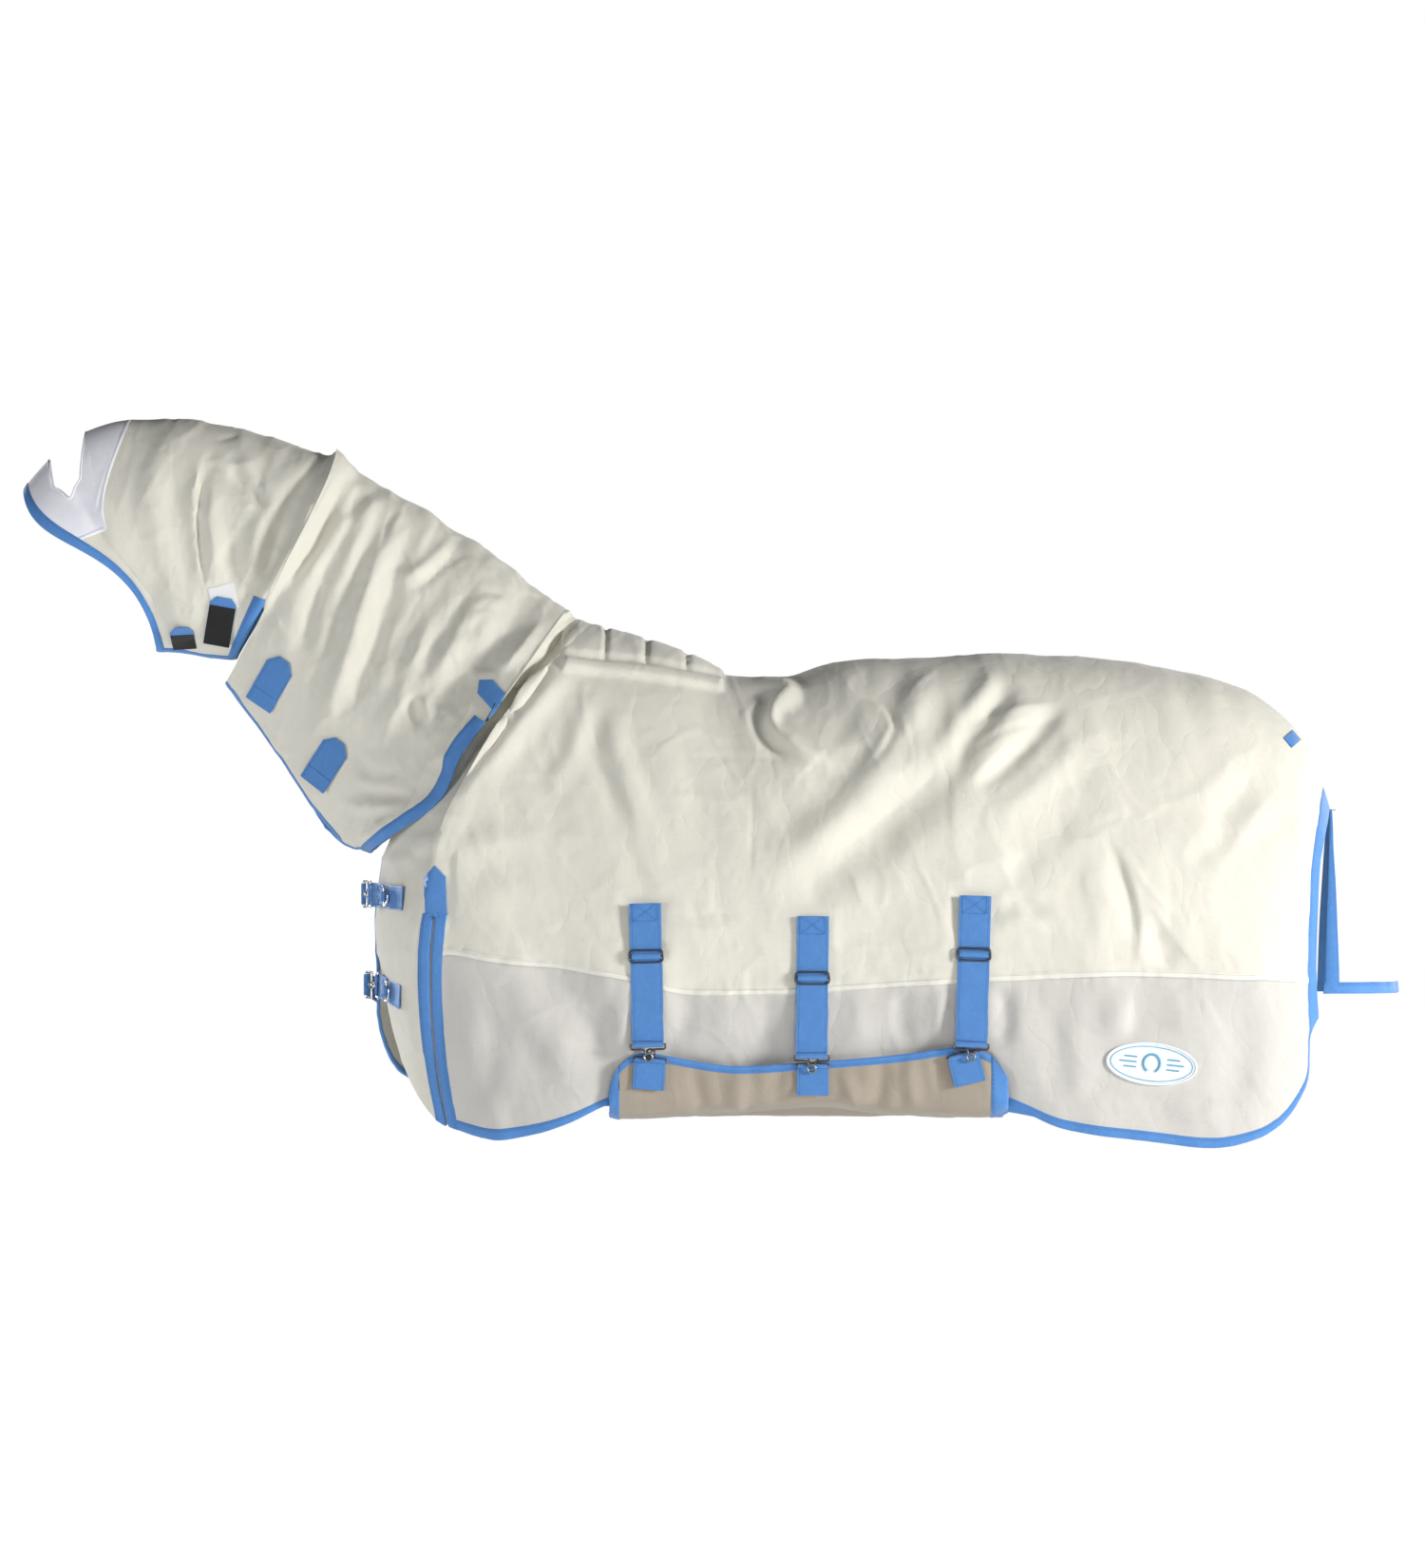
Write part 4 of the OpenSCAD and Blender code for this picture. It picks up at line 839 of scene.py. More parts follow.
def cloth_mat(name, light, dark, pitch=0.0014, rough=0.86, sheen=0.25, weave=0.45):
    """Woven cloth: two thread directions, slubs, soft colour drift and fine creasing."""
    m, t, p = nodes_of(name)
    u, v = uv_parts(t)
    height = raised(t, maths(t, "MULTIPLY", wave(t, u, pitch), wave(t, v, pitch)))
    slub = noise(t, 260, 2, 0.6, (1, 1, 0.12))
    slub2 = noise(t, 260, 2, 0.6, (0.12, 1, 1))
    drift = noise(t, 7, 4, 0.55)
    creased = noise(t, 70, 5, 0.6)
    bent = maths(t, "ABSOLUTE", maths(t, "SUBTRACT", noise(t, 13, 2, 0.5, (1, 1, 0.55)), 0.5))
    bent = maths(t, "POWER", maths(t, "MULTIPLY", bent, 6.0, True), 0.5)
    c = blendc(t, maths(t, "MULTIPLY", drift, 0.5, True), light, dark)
    c = blendc(t, maths(t, "MULTIPLY", height, 0.1), c, shade(dark, 0.72))
    slubs = maths(t, "MULTIPLY", maths(t, "ADD", slub, slub2), 0.5)
    slubs = maths(t, "MULTIPLY", maths(t, "SUBTRACT", slubs, 0.42, True), 0.5, True)
    c = blendc(t, slubs, c, shade(dark, 0.86))
    t.links.new(c, p.inputs["Base Color"])
    p.inputs["Roughness"].default_value = rough
    p.inputs["Sheen Weight"].default_value = sheen
    p.inputs["Sheen Roughness"].default_value = 0.5
    p.inputs["Specular IOR Level"].default_value = 0.25
    n0 = bump(t, bent, 0.30, 0.0022)
    n1 = bump(t, creased, 0.35, 0.0016, n0)
    n2 = bump(t, height, weave, 0.00022, n1)
    t.links.new(n2, p.inputs["Normal"])
    return m


def dashes(t, u, v, at):
    """A stitched line at that place across the width, in metres."""
    pitch, wide = 0.0042, 0.0011
    off = maths(t, "ABSOLUTE", maths(t, "SUBTRACT", v, at))
    line = maths(t, "LESS_THAN", off, wide / 2)
    gap = maths(t, "LESS_THAN", maths(t, "FRACT", maths(t, "DIVIDE", u, pitch)), 0.66)
    return maths(t, "MULTIPLY", line, gap)


def tape_mat(name, stitches, pitch=0.0016, rough=0.62, rib=0.5, chevron=False):
    """Blue binding tape or webbing: ribs across, worn places and sewn lines."""
    light, dark = BLUE, BLUE_DARK
    m, t, p = nodes_of(name)
    u, v = uv_parts(t)
    along = u
    if chevron:
        zigzag = maths(t, "SUBTRACT", maths(t, "FRACT", maths(t, "DIVIDE", v, 0.006)), 0.5)
        along = maths(t, "ADD", u, maths(t, "MULTIPLY", maths(t, "ABSOLUTE", zigzag), 0.004))
    ribs, warp = raised(t, wave(t, along, pitch)), raised(t, wave(t, v, pitch * 0.8))
    drift = noise(t, 24, 4, 0.6)
    rub = noise(t, 120, 4, 0.65)
    c = blendc(t, maths(t, "MULTIPLY", drift, 0.8, True), light, dark)
    c = blendc(t, maths(t, "MULTIPLY", ribs, 0.22), c, shade(dark, 0.6))
    worn = maths(t, "MULTIPLY", maths(t, "SUBTRACT", rub, 0.5, True), 0.9, True)
    c = blendc(t, worn, c, tuple(x * 1.25 + 0.03 for x in light))
    sewn = dashes(t, u, v, stitches[0])
    for at in stitches[1:]:
        sewn = maths(t, "ADD", sewn, dashes(t, u, v, at), True)
    c = blendc(t, sewn, c, shade(dark, 0.72))
    t.links.new(c, p.inputs["Base Color"])
    p.inputs["Roughness"].default_value = rough
    p.inputs["Sheen Weight"].default_value = 0.2
    p.inputs["Specular IOR Level"].default_value = 0.35
    both = maths(t, "ADD", ribs, maths(t, "MULTIPLY", warp, 0.5))
    both = maths(t, "SUBTRACT", both, maths(t, "MULTIPLY", sewn, 1.5))
    n1 = bump(t, rub, 0.25, 0.0008)
    n2 = bump(t, both, rib, 0.0003, n1)
    t.links.new(n2, p.inputs["Normal"])
    return m


def metal_mat(name, colour, rough, dark=None):
    """Metal with fine scratches and soft drift between two tones."""
    m, t, p = nodes_of(name)
    drift = noise(t, 60, 3, 0.6)
    fine_n = noise(t, 900, 3, 0.6)
    c = blendc(t, drift, colour, dark or shade(colour, 0.75))
    t.links.new(c, p.inputs["Base Color"])
    p.inputs["Metallic"].default_value = 1.0
    r = maths(t, "ADD", maths(t, "MULTIPLY", fine_n, 0.16), rough - 0.06)
    t.links.new(r, p.inputs["Roughness"])
    t.links.new(bump(t, fine_n, 0.12, 0.0002), p.inputs["Normal"])
    return m


CREAM = cloth_mat("cream_cloth", (0.79, 0.77, 0.685), (0.69, 0.665, 0.57))
# Skirt cloth: its colour is set darker than the sides' partly for its own duller cloth and partly as painted
# shade, for the skirt that faces down away from the light.
SKIRT_TONE_AND_SHADE = cloth_mat("skirt_cloth", (0.66, 0.64, 0.60), (0.54, 0.52, 0.49), 0.0011, 0.8, 0.3)
WRAP = cloth_mat("wrap_cloth", (0.43, 0.375, 0.305), (0.34, 0.29, 0.23), 0.0011, 0.82, 0.25)
FLAP = cloth_mat("flap_cloth", (0.90, 0.905, 0.90), (0.84, 0.845, 0.84))
FLEECE = cloth_mat("pad_fleece", (0.82, 0.82, 0.80), (0.74, 0.74, 0.72), 0.003, 0.95, 0.7, 0.8)
LYCRA = cloth_mat("stretch_cloth", (0.92, 0.925, 0.98), (0.86, 0.865, 0.94), 0.0008, 0.6, 0.35, 0.25)
BLUE = (0.098, 0.29, 0.68)
BLUE_DARK = (0.07, 0.225, 0.57)
BINDING = tape_mat("blue_binding", (0.0024, 0.0046))
WEB = tape_mat("blue_webbing", (0.0035,), 0.0018, 0.55, 0.8, True)
STRAPWEB = tape_mat("strap_webbing", (0.004, 0.046), 0.002, 0.5, 0.9, True)
HOOK = cloth_mat("hook_tape", (0.012, 0.012, 0.013), (0.006, 0.006, 0.007), 0.0016, 0.9, 0.4, 1.0)
PATCH = cloth_mat("white_tape", (0.86, 0.86, 0.86), (0.8, 0.8, 0.8), 0.0012)
SEAMTAPE = cloth_mat("seam_cloth", (0.83, 0.815, 0.745), (0.76, 0.745, 0.67), 0.0012)
THREAD = cloth_mat("seam_thread", (0.62, 0.6, 0.52), (0.55, 0.53, 0.46), 0.0006)
BLUETHREAD = cloth_mat("blue_thread", (0.10, 0.26, 0.60), (0.07, 0.2, 0.5), 0.0006)
DARK = metal_mat("dark_metal", (0.16, 0.155, 0.15), 0.32, (0.09, 0.09, 0.09))
BRIGHT = metal_mat("bright_metal", (0.80, 0.80, 0.80), 0.16)
BRIGHT_DARK = metal_mat("bright_metal_2", (0.36, 0.35, 0.335), 0.26)


# ---------------------------------------------------------------- cloth panels
def done(o, body, slot, *nodes):
    """Fixes a piece to its body and hides the CAD nodes it replaces. slot is not used."""
    if body:
        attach(o, body)
    if nodes:
        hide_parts(*nodes)
    return o


BODY_SIDES = (("near", near), ("far", far))
NECK_SIDES = (("near", neck_near), ("far", neck_far))
HOOD_SIDES = (("near", hood_near), ("far", hood_far))
# Cells that each panel takes up: from station, to station, from line, to line.
SIDE_CELLS = [(0, 24, 0, 6), (8, 24, 6, 8)]
SKIRT_CELLS = [(8, 24, 8, 12)]
CHEST_CELLS = [(0, 5, 6, 12)]
GUSSET_CELLS = [(5, 8, 6, 12)]
NECK_CELLS = [(0, 6, 0, 9), (6, 7, 0, 4)]
HOOD_CELLS = [(1, 5, 4, 9), (5, 9, 0, 9), (9, 10, 0, 6)]
EAR_CELLS = [(1, 2, 0, 4), (2, 4, 3, 4), (4, 5, 0, 4)]


def pair(cloth, node, sides, cells, mat, slot, gap=6.0):
    """The near and the far panel of a kind."""
    return [done(panel(f"{cloth}_{side}", [skin], cells, mat, gap), "cover", slot, f"{node}_{side}")
            for side, skin in sides]


side_near, side_far = pair("side_cloth", "side_panel", BODY_SIDES, SIDE_CELLS, CREAM, "cream_mesh")
skirt_near, skirt_far = pair("skirt_cloth", "skirt_panel", BODY_SIDES, SKIRT_CELLS, SKIRT_TONE_AND_SHADE, "skirt_cloth")
flap_near, flap_far = pair("chest_cloth", "chest_flap", BODY_SIDES, CHEST_CELLS, CREAM, "cream_mesh")
gusset = done(panel("gusset_cloth", [near, far], GUSSET_CELLS, CREAM, 6, -0.4, -1.8),
              "cover", "cream_mesh", "shoulder_gusset")
neck_n, neck_f = pair("neck_cloth", "neck_panel", NECK_SIDES, NECK_CELLS, CREAM, "cream_mesh", 5)
hood_n, hood_f = pair("hood_cloth", "hood_panel", HOOD_SIDES, HOOD_CELLS, CREAM, "cream_mesh", 5)
ears = done(panel("stretch_ear_cloth", [hood_near, hood_far], EAR_CELLS, LYCRA, 4),
            "cover", "stretch_cloth", "ear_panel")


def bands(*runs):
    """Bindings along several runs, each the skins it is on and then band's own values."""
    return [band("tape", skin, *values) for skins, *values in runs for skin in skins]


BODIES, NECKS, HOODS = (near, far), (neck_near, neck_far), (hood_near, hood_far)
hem_n = done(band("hem_tape_near", near, 11.4, 12, 8, 24), "cover", "blue_binding", "hem_binding_near")
hem_f = done(join("hem_tape_far", bands(([far], 11.4, 12, 8, 24), ([far], 11.4, 12, 0, 5))),
             "cover", "blue_binding", "hem_binding_far")
rear = done(join("rear_tape", bands((BODIES, 24, 25, 0, 12, "u"))), "cover", "blue_binding", "rear_binding")
slit = done(join("gusset_tape", bands((BODIES, 5, 6, 6, 12, "u"), (BODIES, 8, 7, 6, 12, "u"))),
            "cover", "blue_binding", "gusset_binding")
neck_b = done(join("neck_tape", bands((NECKS, 8.35, 9, 0, 7), (NECKS, 6, 7, 4, 9, "u"))),
              "cover", "blue_binding", "neck_binding")
hood_b = done(join("hood_tape", bands((HOODS, 1, 0, 0, 9, "u"), (HOODS, 8.3, 9, 0, 10),
                                      (HOODS, 9, 10, 6, 9, "u"))), "cover", "blue_binding", "hood_binding")


# ---------------------------------------------------------------- sewn-on pieces follow the cloth
def tree_of(*objects):
    points, faces = [], []
    for o in objects:
        base = len(points)
        points += [v.co.copy() for v in o.data.vertices]
        faces += [[base + k for k in p.vertices] for p in o.data.polygons]
    return BVHTree.FromPolygons(points, faces)


body_tree = tree_of(side_near, skirt_near, flap_near, slit)
neck_tree = tree_of(neck_n, neck_b)
hood_tree = tree_of(hood_n, hood_b)


def drop_on(tree, x, z, side=-1):
    """y and normal of the cloth at x, z, in mm, seen from that side."""
    hit, normal, _, _ = tree.ray_cast(Vector((x * 0.001, side * 2.0, z * 0.001)), Vector((0, -side, 0)))
    if hit is None:
        hit, normal, _, _ = tree.find_nearest(Vector((x * 0.001, side * 0.3, z * 0.001)))
    n = np.array(normal)
    if n[1] * side < 0:
        n = -n
    return np.array(hit) * 1000, n


def sewn_patch(name, tree, outline, mat, thick=1.6, lift=0.6, side=-1, pillow=0.5):
    """A patch with that outline (x, z), laid on the cloth under it."""
    o = np.asarray(outline, float)
    n = len(o)
    c = o.mean(0)
    rings = [1.0, 0.97, 0.9, 0.75, 0.55, 0.35, 0.15]
    points, uvs, faces = [], [], []
    lo = o.min(0)
    for layer in (1, 0):
        for s in rings:
            for k in range(n):
                q = c + (o[k] - c) * s
                p, nn = drop_on(tree, q[0], q[1], side)
                rim = 0.65 if s == rings[0] else 1.0
                h = lift + (thick * rim + pillow * (1 - s) if layer else 0)
                points.append(p + nn * h)
                uvs.append((q - lo) * 0.001)
        p, nn = drop_on(tree, c[0], c[1], side)
        points.append(p + nn * (lift + (thick + pillow if layer else 0)))
        uvs.append((c - lo) * 0.001)
    m = len(rings) * n + 1
    for layer in (0, 1):
        b = layer * m
        for r in range(len(rings) - 1):
            for k in range(n):
                j = (k + 1) % n
                f = (b + r * n + k, b + r * n + j, b + (r + 1) * n + j, b + (r + 1) * n + k)
                faces.append(f if layer == 0 else f[::-1])
        for k in range(n):
            j = (k + 1) % n
            f = (b + (len(rings) - 1) * n + k, b + (len(rings) - 1) * n + j, b + m - 1)
            faces.append(f if layer == 0 else f[::-1])
    for k in range(n):
        j = (k + 1) % n
        faces.append((k, m + k, m + j, j))
    return flip_out(mesh(name, points, faces, mat, uvs, 50))


def outline(points, gap=4.0, turn=0.0, at=(0, 0)):
    """A closed outline with points about gap apart, turned and placed."""
    p = np.asarray(points, float)
    out = []
    for k in range(len(p)):
        a, b = p[k], p[(k + 1) % len(p)]
        n = max(1, int(round(np.linalg.norm(b - a) / gap)))
        out += [a + (b - a) * t / n for t in range(n)]
    out = np.array(out)
    g = math.radians(turn)
    rot = np.array([[math.cos(g), math.sin(g)], [-math.sin(g), math.cos(g)]])
    return out @ rot + np.array(at)


def facing(skin, u, w):
    """Directions out of the cloth, on the skin's own side."""
    out = skin.frame(u, w)[1]
    return out * FAR_MIRROR if skin.side > 0 else out


def seam_line(name, skin, line, along, wide, lift, mat, fixed="w"):
    """A narrow raised strip on the cloth along one grid line, or along one station with fixed="u"."""
    def beside(shift):
        held = np.full(len(along), line + shift)
        return (along, held) if fixed == "w" else (held, along)

    centre = skin.at(*beside(0.0), OUTSIDE)
    side = skin.at(*beside(0.05), OUTSIDE) - skin.at(*beside(-0.05), OUTSIDE)
    side /= np.linalg.norm(side, axis=1, keepdims=True)
    n = facing(skin, *beside(0.0))
    section = [(-1, 0.0), (-0.8, 0.8), (0, 1.0), (0.8, 0.8), (1, 0.0), (0, -0.6)]
    rings = np.stack([centre + side * (a * wide / 2) + n * (b * lift) for a, b in section], 1)
    across = np.array([(a + 1) * wide / 2000 for a, b in section])
    return tube(name, rings, mat, tube_uv(centre, across, rings.shape[:2]))


def offset_line(skin, w, d, us):
    """The grid line number that lies d mm below line w, at each station in us."""
    a = skin.frame(us, np.full(len(us), w - 0.2))[0]
    b = skin.frame(us, np.full(len(us), w + 0.2))[0]
    return w + 0.4 * d / np.linalg.norm(b - a, axis=1)


def thread_run(name, skin, w, d, us, mat, lift):
    """Stitching as a row of short raised threads beside a grid line."""
    p = skin.at(us, offset_line(skin, w, d, us), OUTSIDE + lift)
    p = spaced(p[::max(1, len(p) // 400)], 2.2)
    radius, overlap = 0.42, 1.35
    turn = np.arange(4) * math.pi / 2
    points, faces = [], []
    for k in range(0, len(p) - 2, 2):
        a, b = p[k], p[k] + (p[k + 1] - p[k]) * overlap
        t = (b - a) / (np.linalg.norm(b - a) + 1e-9)
        s = np.cross(t, [0, 1, 0])
        s /= np.linalg.norm(s) + 1e-9
        ring = radius * (np.outer(np.cos(turn), s) + np.outer(np.sin(turn), np.cross(s, t)))
        base = len(points)
        points += [*(a + ring), *(b + ring)]
        faces += [[base + g, base + (g + 1) % 4, base + 4 + (g + 1) % 4, base + 4 + g] for g in range(4)]
        faces += [[base + 3, base + 2, base + 1, base], [base + 4, base + 5, base + 6, base + 7]]
    return mesh(name, points, faces, mat, np.zeros((len(points), 2)))


seams = []
for skin, tag in ((near, "near"), (far, "far")):
    us = fine(8, 24, skin, 8, 5)
    seams.append(seam_line("seam_" + tag, skin, 8, us, 11, 0.9, SEAMTAPE))
    for d in (-4.2, 4.2):
        seams.append(thread_run("seam_thread", skin, 8, d, us, THREAD, 1.0))
done(join("skirt_seams", seams), "cover", "cream_mesh")
ridge = [seam_line("ridge", skin, 0, fine(a, b, skin, 0), 7, 0.8, SEAMTAPE)
         for skin, a, b in ((near, 9, 25), (neck_near, 0, 7), (hood_near, 5, 10))]
ridge += [seam_line("ear_seam", skin, 5, fine_w(0, 4, skin, 5, 5), 6, 0.8, LYCRA, "u") for skin in HOODS]
ridge += [seam_line("ear_seam", skin, 4, fine(1, 5, skin, 4, 5), 6, 0.8, LYCRA) for skin in HOODS]
done(join("spine_seams", ridge), "cover", "cream_mesh")


def ear_side(skin):
    """Rim of the ear opening on one side, from the front crest down and up again."""
    a = [(2.0, w) for w in np.linspace(0, 3, 18)]
    b = [(u, 3.0) for u in np.linspace(2, 4, 14)[1:]]
    c = [(4.0, w) for w in np.linspace(3, 0, 18)[1:]]
    uw = np.array(a + b + c)
    return skin.at(uw[:, 0], uw[:, 1], 2.8)


rim = np.vstack([ear_side(hood_near), ear_side(hood_far)[::-1][1:-1]])
rim = (rim + np.roll(rim, 1, 0) + np.roll(rim, -1, 0)) / 3
done(wire("ear_rim", rim, 1.8, LYCRA, 8, True), "cover", "stretch_cloth")


def joining_fold(hood_skin, neck_skin):
    """The folded seam where the hood is sewn to the neck cover, above the slit."""
    n = 60
    hood_w = np.linspace(0, 6.0, n)
    share = hood_skin.down(np.full(n, 10.0), hood_w)
    neck_w = np.interp(share, NECK_LINES[0], np.arange(len(NECK_LINES[0])))
    A, A2 = [hood_skin.at(np.full(n, u), hood_w, np.full(n, lift)) for u, lift in ((9.35, 2.4), (9.9, 3.6))]
    B2, B = [neck_skin.at(np.full(n, u), neck_w, np.full(n, lift)) for u, lift in ((0.06, 3.6), (0.22, 2.4))]
    out = facing(hood_skin, np.full(n, 9.9), hood_w)
    rise = out * (7.0 * np.exp(-hood_w / 1.2) + 4.2 * smooth((6.0 - hood_w) / 1.5))[:, None]
    top = (A2 + B2) / 2 + rise
    rings = np.stack([A, A2 + rise * 0.15, A2 * 0.6 + B2 * 0.4 + rise * 0.7, top,
                      A2 * 0.4 + B2 * 0.6 + rise * 0.7, B2 + rise * 0.15, B, (A + B) / 2 - out * 2.2], 1)
    return tube("fold", rings, CREAM, tube_uv(top, np.linspace(0, 0.03, 8), rings.shape[:2]))


done(join("hood_seam", [joining_fold(*skins) for skins in zip(HOODS, NECKS)]), "cover", "cream_mesh")


def shoulder_fold(neck_skin, body_skin):
    """The rolled seam where the rear of the neck cover is sewn to the front of the back."""
    n = 90
    neck_w = np.linspace(0, 4.0, n)
    share = neck_skin.down(np.full(n, 7.0), neck_w)
    body_w = np.interp(share, body_skin.lines[0], np.arange(body_skin.lines.shape[1]))
    lean = 1 + 0.25 * grain(neck_w * 3, 0 * neck_w, 230)
    A, A2 = [neck_skin.at(np.full(n, u), neck_w, np.full(n, lift)) for u, lift in ((6.55, 2.2), (6.97, 3.8))]
    B2, B = [body_skin.at(u * lean, body_w, np.full(n, lift)) for u, lift in ((0.55, 4.4), (1.1, 2.4))]
    out = facing(neck_skin, np.full(n, 7.0), neck_w)
    roll = out * (3.6 + 1.6 * grain(neck_w * 2.2, 0 * neck_w + 3, 231))[:, None]
    top = A2 * 0.7 + B2 * 0.3 + roll
    rings = np.stack([A, A2 + out * 0.6, top, A2 * 0.35 + B2 * 0.65 + roll * 0.3,
                      B2 + out * 0.6, B, (A + B) / 2 - out * 2.0], 1)
    return tube("fold", rings, CREAM, tube_uv(top, np.linspace(0, 0.04, 7), rings.shape[:2]))


done(join("neck_seam", [shoulder_fold(*skins) for skins in zip(NECKS, BODIES)]), "cover", "cream_mesh")

far_trees = tree_of(side_far, skirt_far, flap_far, slit), tree_of(neck_f, neck_b)
slit_cap = outline([(-17, -42), (17, -42), (17, 18), (0, 36), (-17, 18)], 5, 2, (-496, -328))
done(join("slit_caps", [sewn_patch("cap", tree, slit_cap, WEB, 1.8, 0.6, side=side)
                        for side, tree in ((-1, body_tree), (1, far_trees[0]))]),
     "cover", "blue_webbing", "gusset_cap")
neck_cap = outline([(-16, -32), (16, -32), (16, 18), (0, 32), (-16, 18)], 5, 42, (-406, -24))
done(join("neck_caps", [sewn_patch("cap", tree, neck_cap, WEB, 1.8, 0.8, side=side)
                        for side, tree in ((-1, neck_tree), (1, far_trees[1]))]),
     "cover", "blue_webbing", "neck_cap")
throat = outline([(-21, -20), (21, -20), (21, 20), (-21, 20)], 4, 14, (-833, 131))
done(sewn_patch("throat_patch", hood_tree, throat, PATCH, 0.8, 0.3, pillow=0.1), "cover", "flap_mesh")
diamond = outline([(-10, -10), (10, -10), (10, 10), (-10, 10)], 3, 40, (855, -93))
done(sewn_patch("rump_diamond", body_tree, diamond, WEB, 1.6, 0.6), "cover", "blue_webbing", "rump_patch")


# ---------------------------------------------------------------- badge
def oval(w, h, n=44):
    """An ellipse w wide and h high."""
    return [(w / 2 * math.cos(a), h / 2 * math.sin(a)) for a in np.arange(n) * 2 * math.pi / n]


BADGE_FACE = cloth_mat("badge_face", (0.83, 0.87, 0.90), (0.78, 0.83, 0.87), 0.0006, 0.42, 0.0, 0.1)
BADGE_BLUE = cloth_mat("badge_ink", (0.17, 0.42, 0.62), (0.13, 0.36, 0.56), 0.0006, 0.4, 0.0, 0.1)
BADGE_AT = (630, -603)
BADGE_TILT = -6
plate = outline(oval(145, 68), 5, BADGE_TILT, BADGE_AT)
badge = [sewn_patch("plate", body_tree, plate, BADGE_FACE, 2.0, 0.6, pillow=0.2)]


def on_badge(points, lift):
    """Points in the badge's own plane, turned with it and laid over the cloth."""
    g = math.radians(BADGE_TILT)
    rot = np.array([[math.cos(g), math.sin(g)], [-math.sin(g), math.cos(g)]])
    q = np.asarray(points, float) @ rot + np.array(BADGE_AT)
    out = []
    for x, z in q:
        p, n = drop_on(body_tree, x, z)
        out.append(p + n * lift)
    return np.array(out)


badge.append(wire("rim", on_badge(oval(141, 64), 2.6), 1.5, BADGE_FACE, 8, True))
badge.append(wire("ink", on_badge(oval(130, 54), 2.75), 0.75, BADGE_BLUE, 8, True))
shoe = [(13 * math.sin(a), 1 - 14 * math.cos(a)) for a in np.radians(np.linspace(-150, 150, 31))]
badge.append(wire("shoe", on_badge([(x, -z + 2) for x, z in shoe], 2.7), 2.1, BADGE_BLUE, 8))
for s in (-1, 1):
    for z, l in ((9, 20), (1, 27), (-7, 20)):
        bar = [(s * x, z) for x in np.linspace(24, 24 + l, 9)]
        badge.append(wire("bar", on_badge(bar, 2.6), 1.3, BADGE_BLUE, 8))
done(join("oval_badge", badge), "cover", "badge_face", "badge")


# ---------------------------------------------------------------- wither pad
def pad_piece():
    """The pad under the withers: its own sheet above, and three sewn blocks below."""
    us = fine(9, 13, near, 1, 6)
    cols = np.linspace(-2, 2, 49)
    nu, nc = len(us), len(cols)
    a = np.linspace(0, 1, nu)[:, None] + np.zeros((1, nc))
    U = us[:, None] + np.zeros((1, nc))
    C = cols[None] + np.zeros((nu, 1))
    edge = np.minimum(1, np.minimum(np.minimum(a, 1 - a) * 10, (1 - np.abs(C) / 2) * 8))
    block = 0.55 + 0.45 * np.abs(np.sin(a * math.pi * 3))**0.35
    layers = []
    for deep in (-0.6 + 0 * a, -(1.5 + 10 * np.sqrt(np.maximum(edge, 0)) * block)):
        q = np.where((C <= 0)[..., None], near.at(U, np.abs(C), deep), far.at(U, np.abs(C), deep))
        layers.append(q.reshape(-1, 3))
    points, faces = np.vstack(layers), []

    def at(i, j, l):
        return l * nu * nc + i * nc + j

    for i in range(nu - 1):
        for j in range(nc - 1):
            faces.append((at(i, j, 0), at(i, j + 1, 0), at(i + 1, j + 1, 0), at(i + 1, j, 0)))
            faces.append((at(i, j, 1), at(i + 1, j, 1), at(i + 1, j + 1, 1), at(i, j + 1, 1)))
    for i in range(nu - 1):
        faces.append((at(i, 0, 0), at(i + 1, 0, 0), at(i + 1, 0, 1), at(i, 0, 1)))
        faces.append((at(i, nc - 1, 0), at(i, nc - 1, 1), at(i + 1, nc - 1, 1), at(i + 1, nc - 1, 0)))
    for j in range(nc - 1):
        faces.append((at(0, j, 0), at(0, j, 1), at(0, j + 1, 1), at(0, j + 1, 0)))
        faces.append((at(nu - 1, j, 0), at(nu - 1, j + 1, 0), at(nu - 1, j + 1, 1), at(nu - 1, j, 1)))
    uv = [(p[0] * 0.001, p[1] * 0.001) for p in points]
    return flip_out(mesh("wither_pad_soft", points, faces, FLEECE, uv, 50))


pad = done(pad_piece(), "cover", "pad_fleece", "wither_pad")

# ---------------------------------------------------------------- belly wrap
# At each station: x, the near edge's height and y, and the height of the bottom.
WX = [-222, -206, -165, -20, 100, 225, 330, 378, 404]
WT = [-648, -606, -586, -607, -600, -590, -577, -590, -626]
WY = [-271, -278, -276, -271, -272, -273, -281, -283, -279]
WL = [-682, -685, -684, -675, -666, -678, -682, -682, -676]


def wrap_path(y, t, b):
    """One station of the wrap (y, z), from its near edge round under the belly to its far edge."""
    m = min(t, -628) - 14
    return [[y, t], [y + 0.5, t - 12], [y + 1, m], [y + 10, max(m - 22, b + 10)], [y + 30, b + 3],
            [y + 75, b - 2], [-90, b - 4], [0, b - 5], [90, b - 5], [150, b - 4], [200, -690],
            [225, -687], [240, -686]]


WRAP_TABLE = np.array([[[x, *p] for p in wrap_path(y, t, b)] for x, y, t, b in zip(WX, WY, WT, WL)])


CATCH_X = (-158, 98, 334)


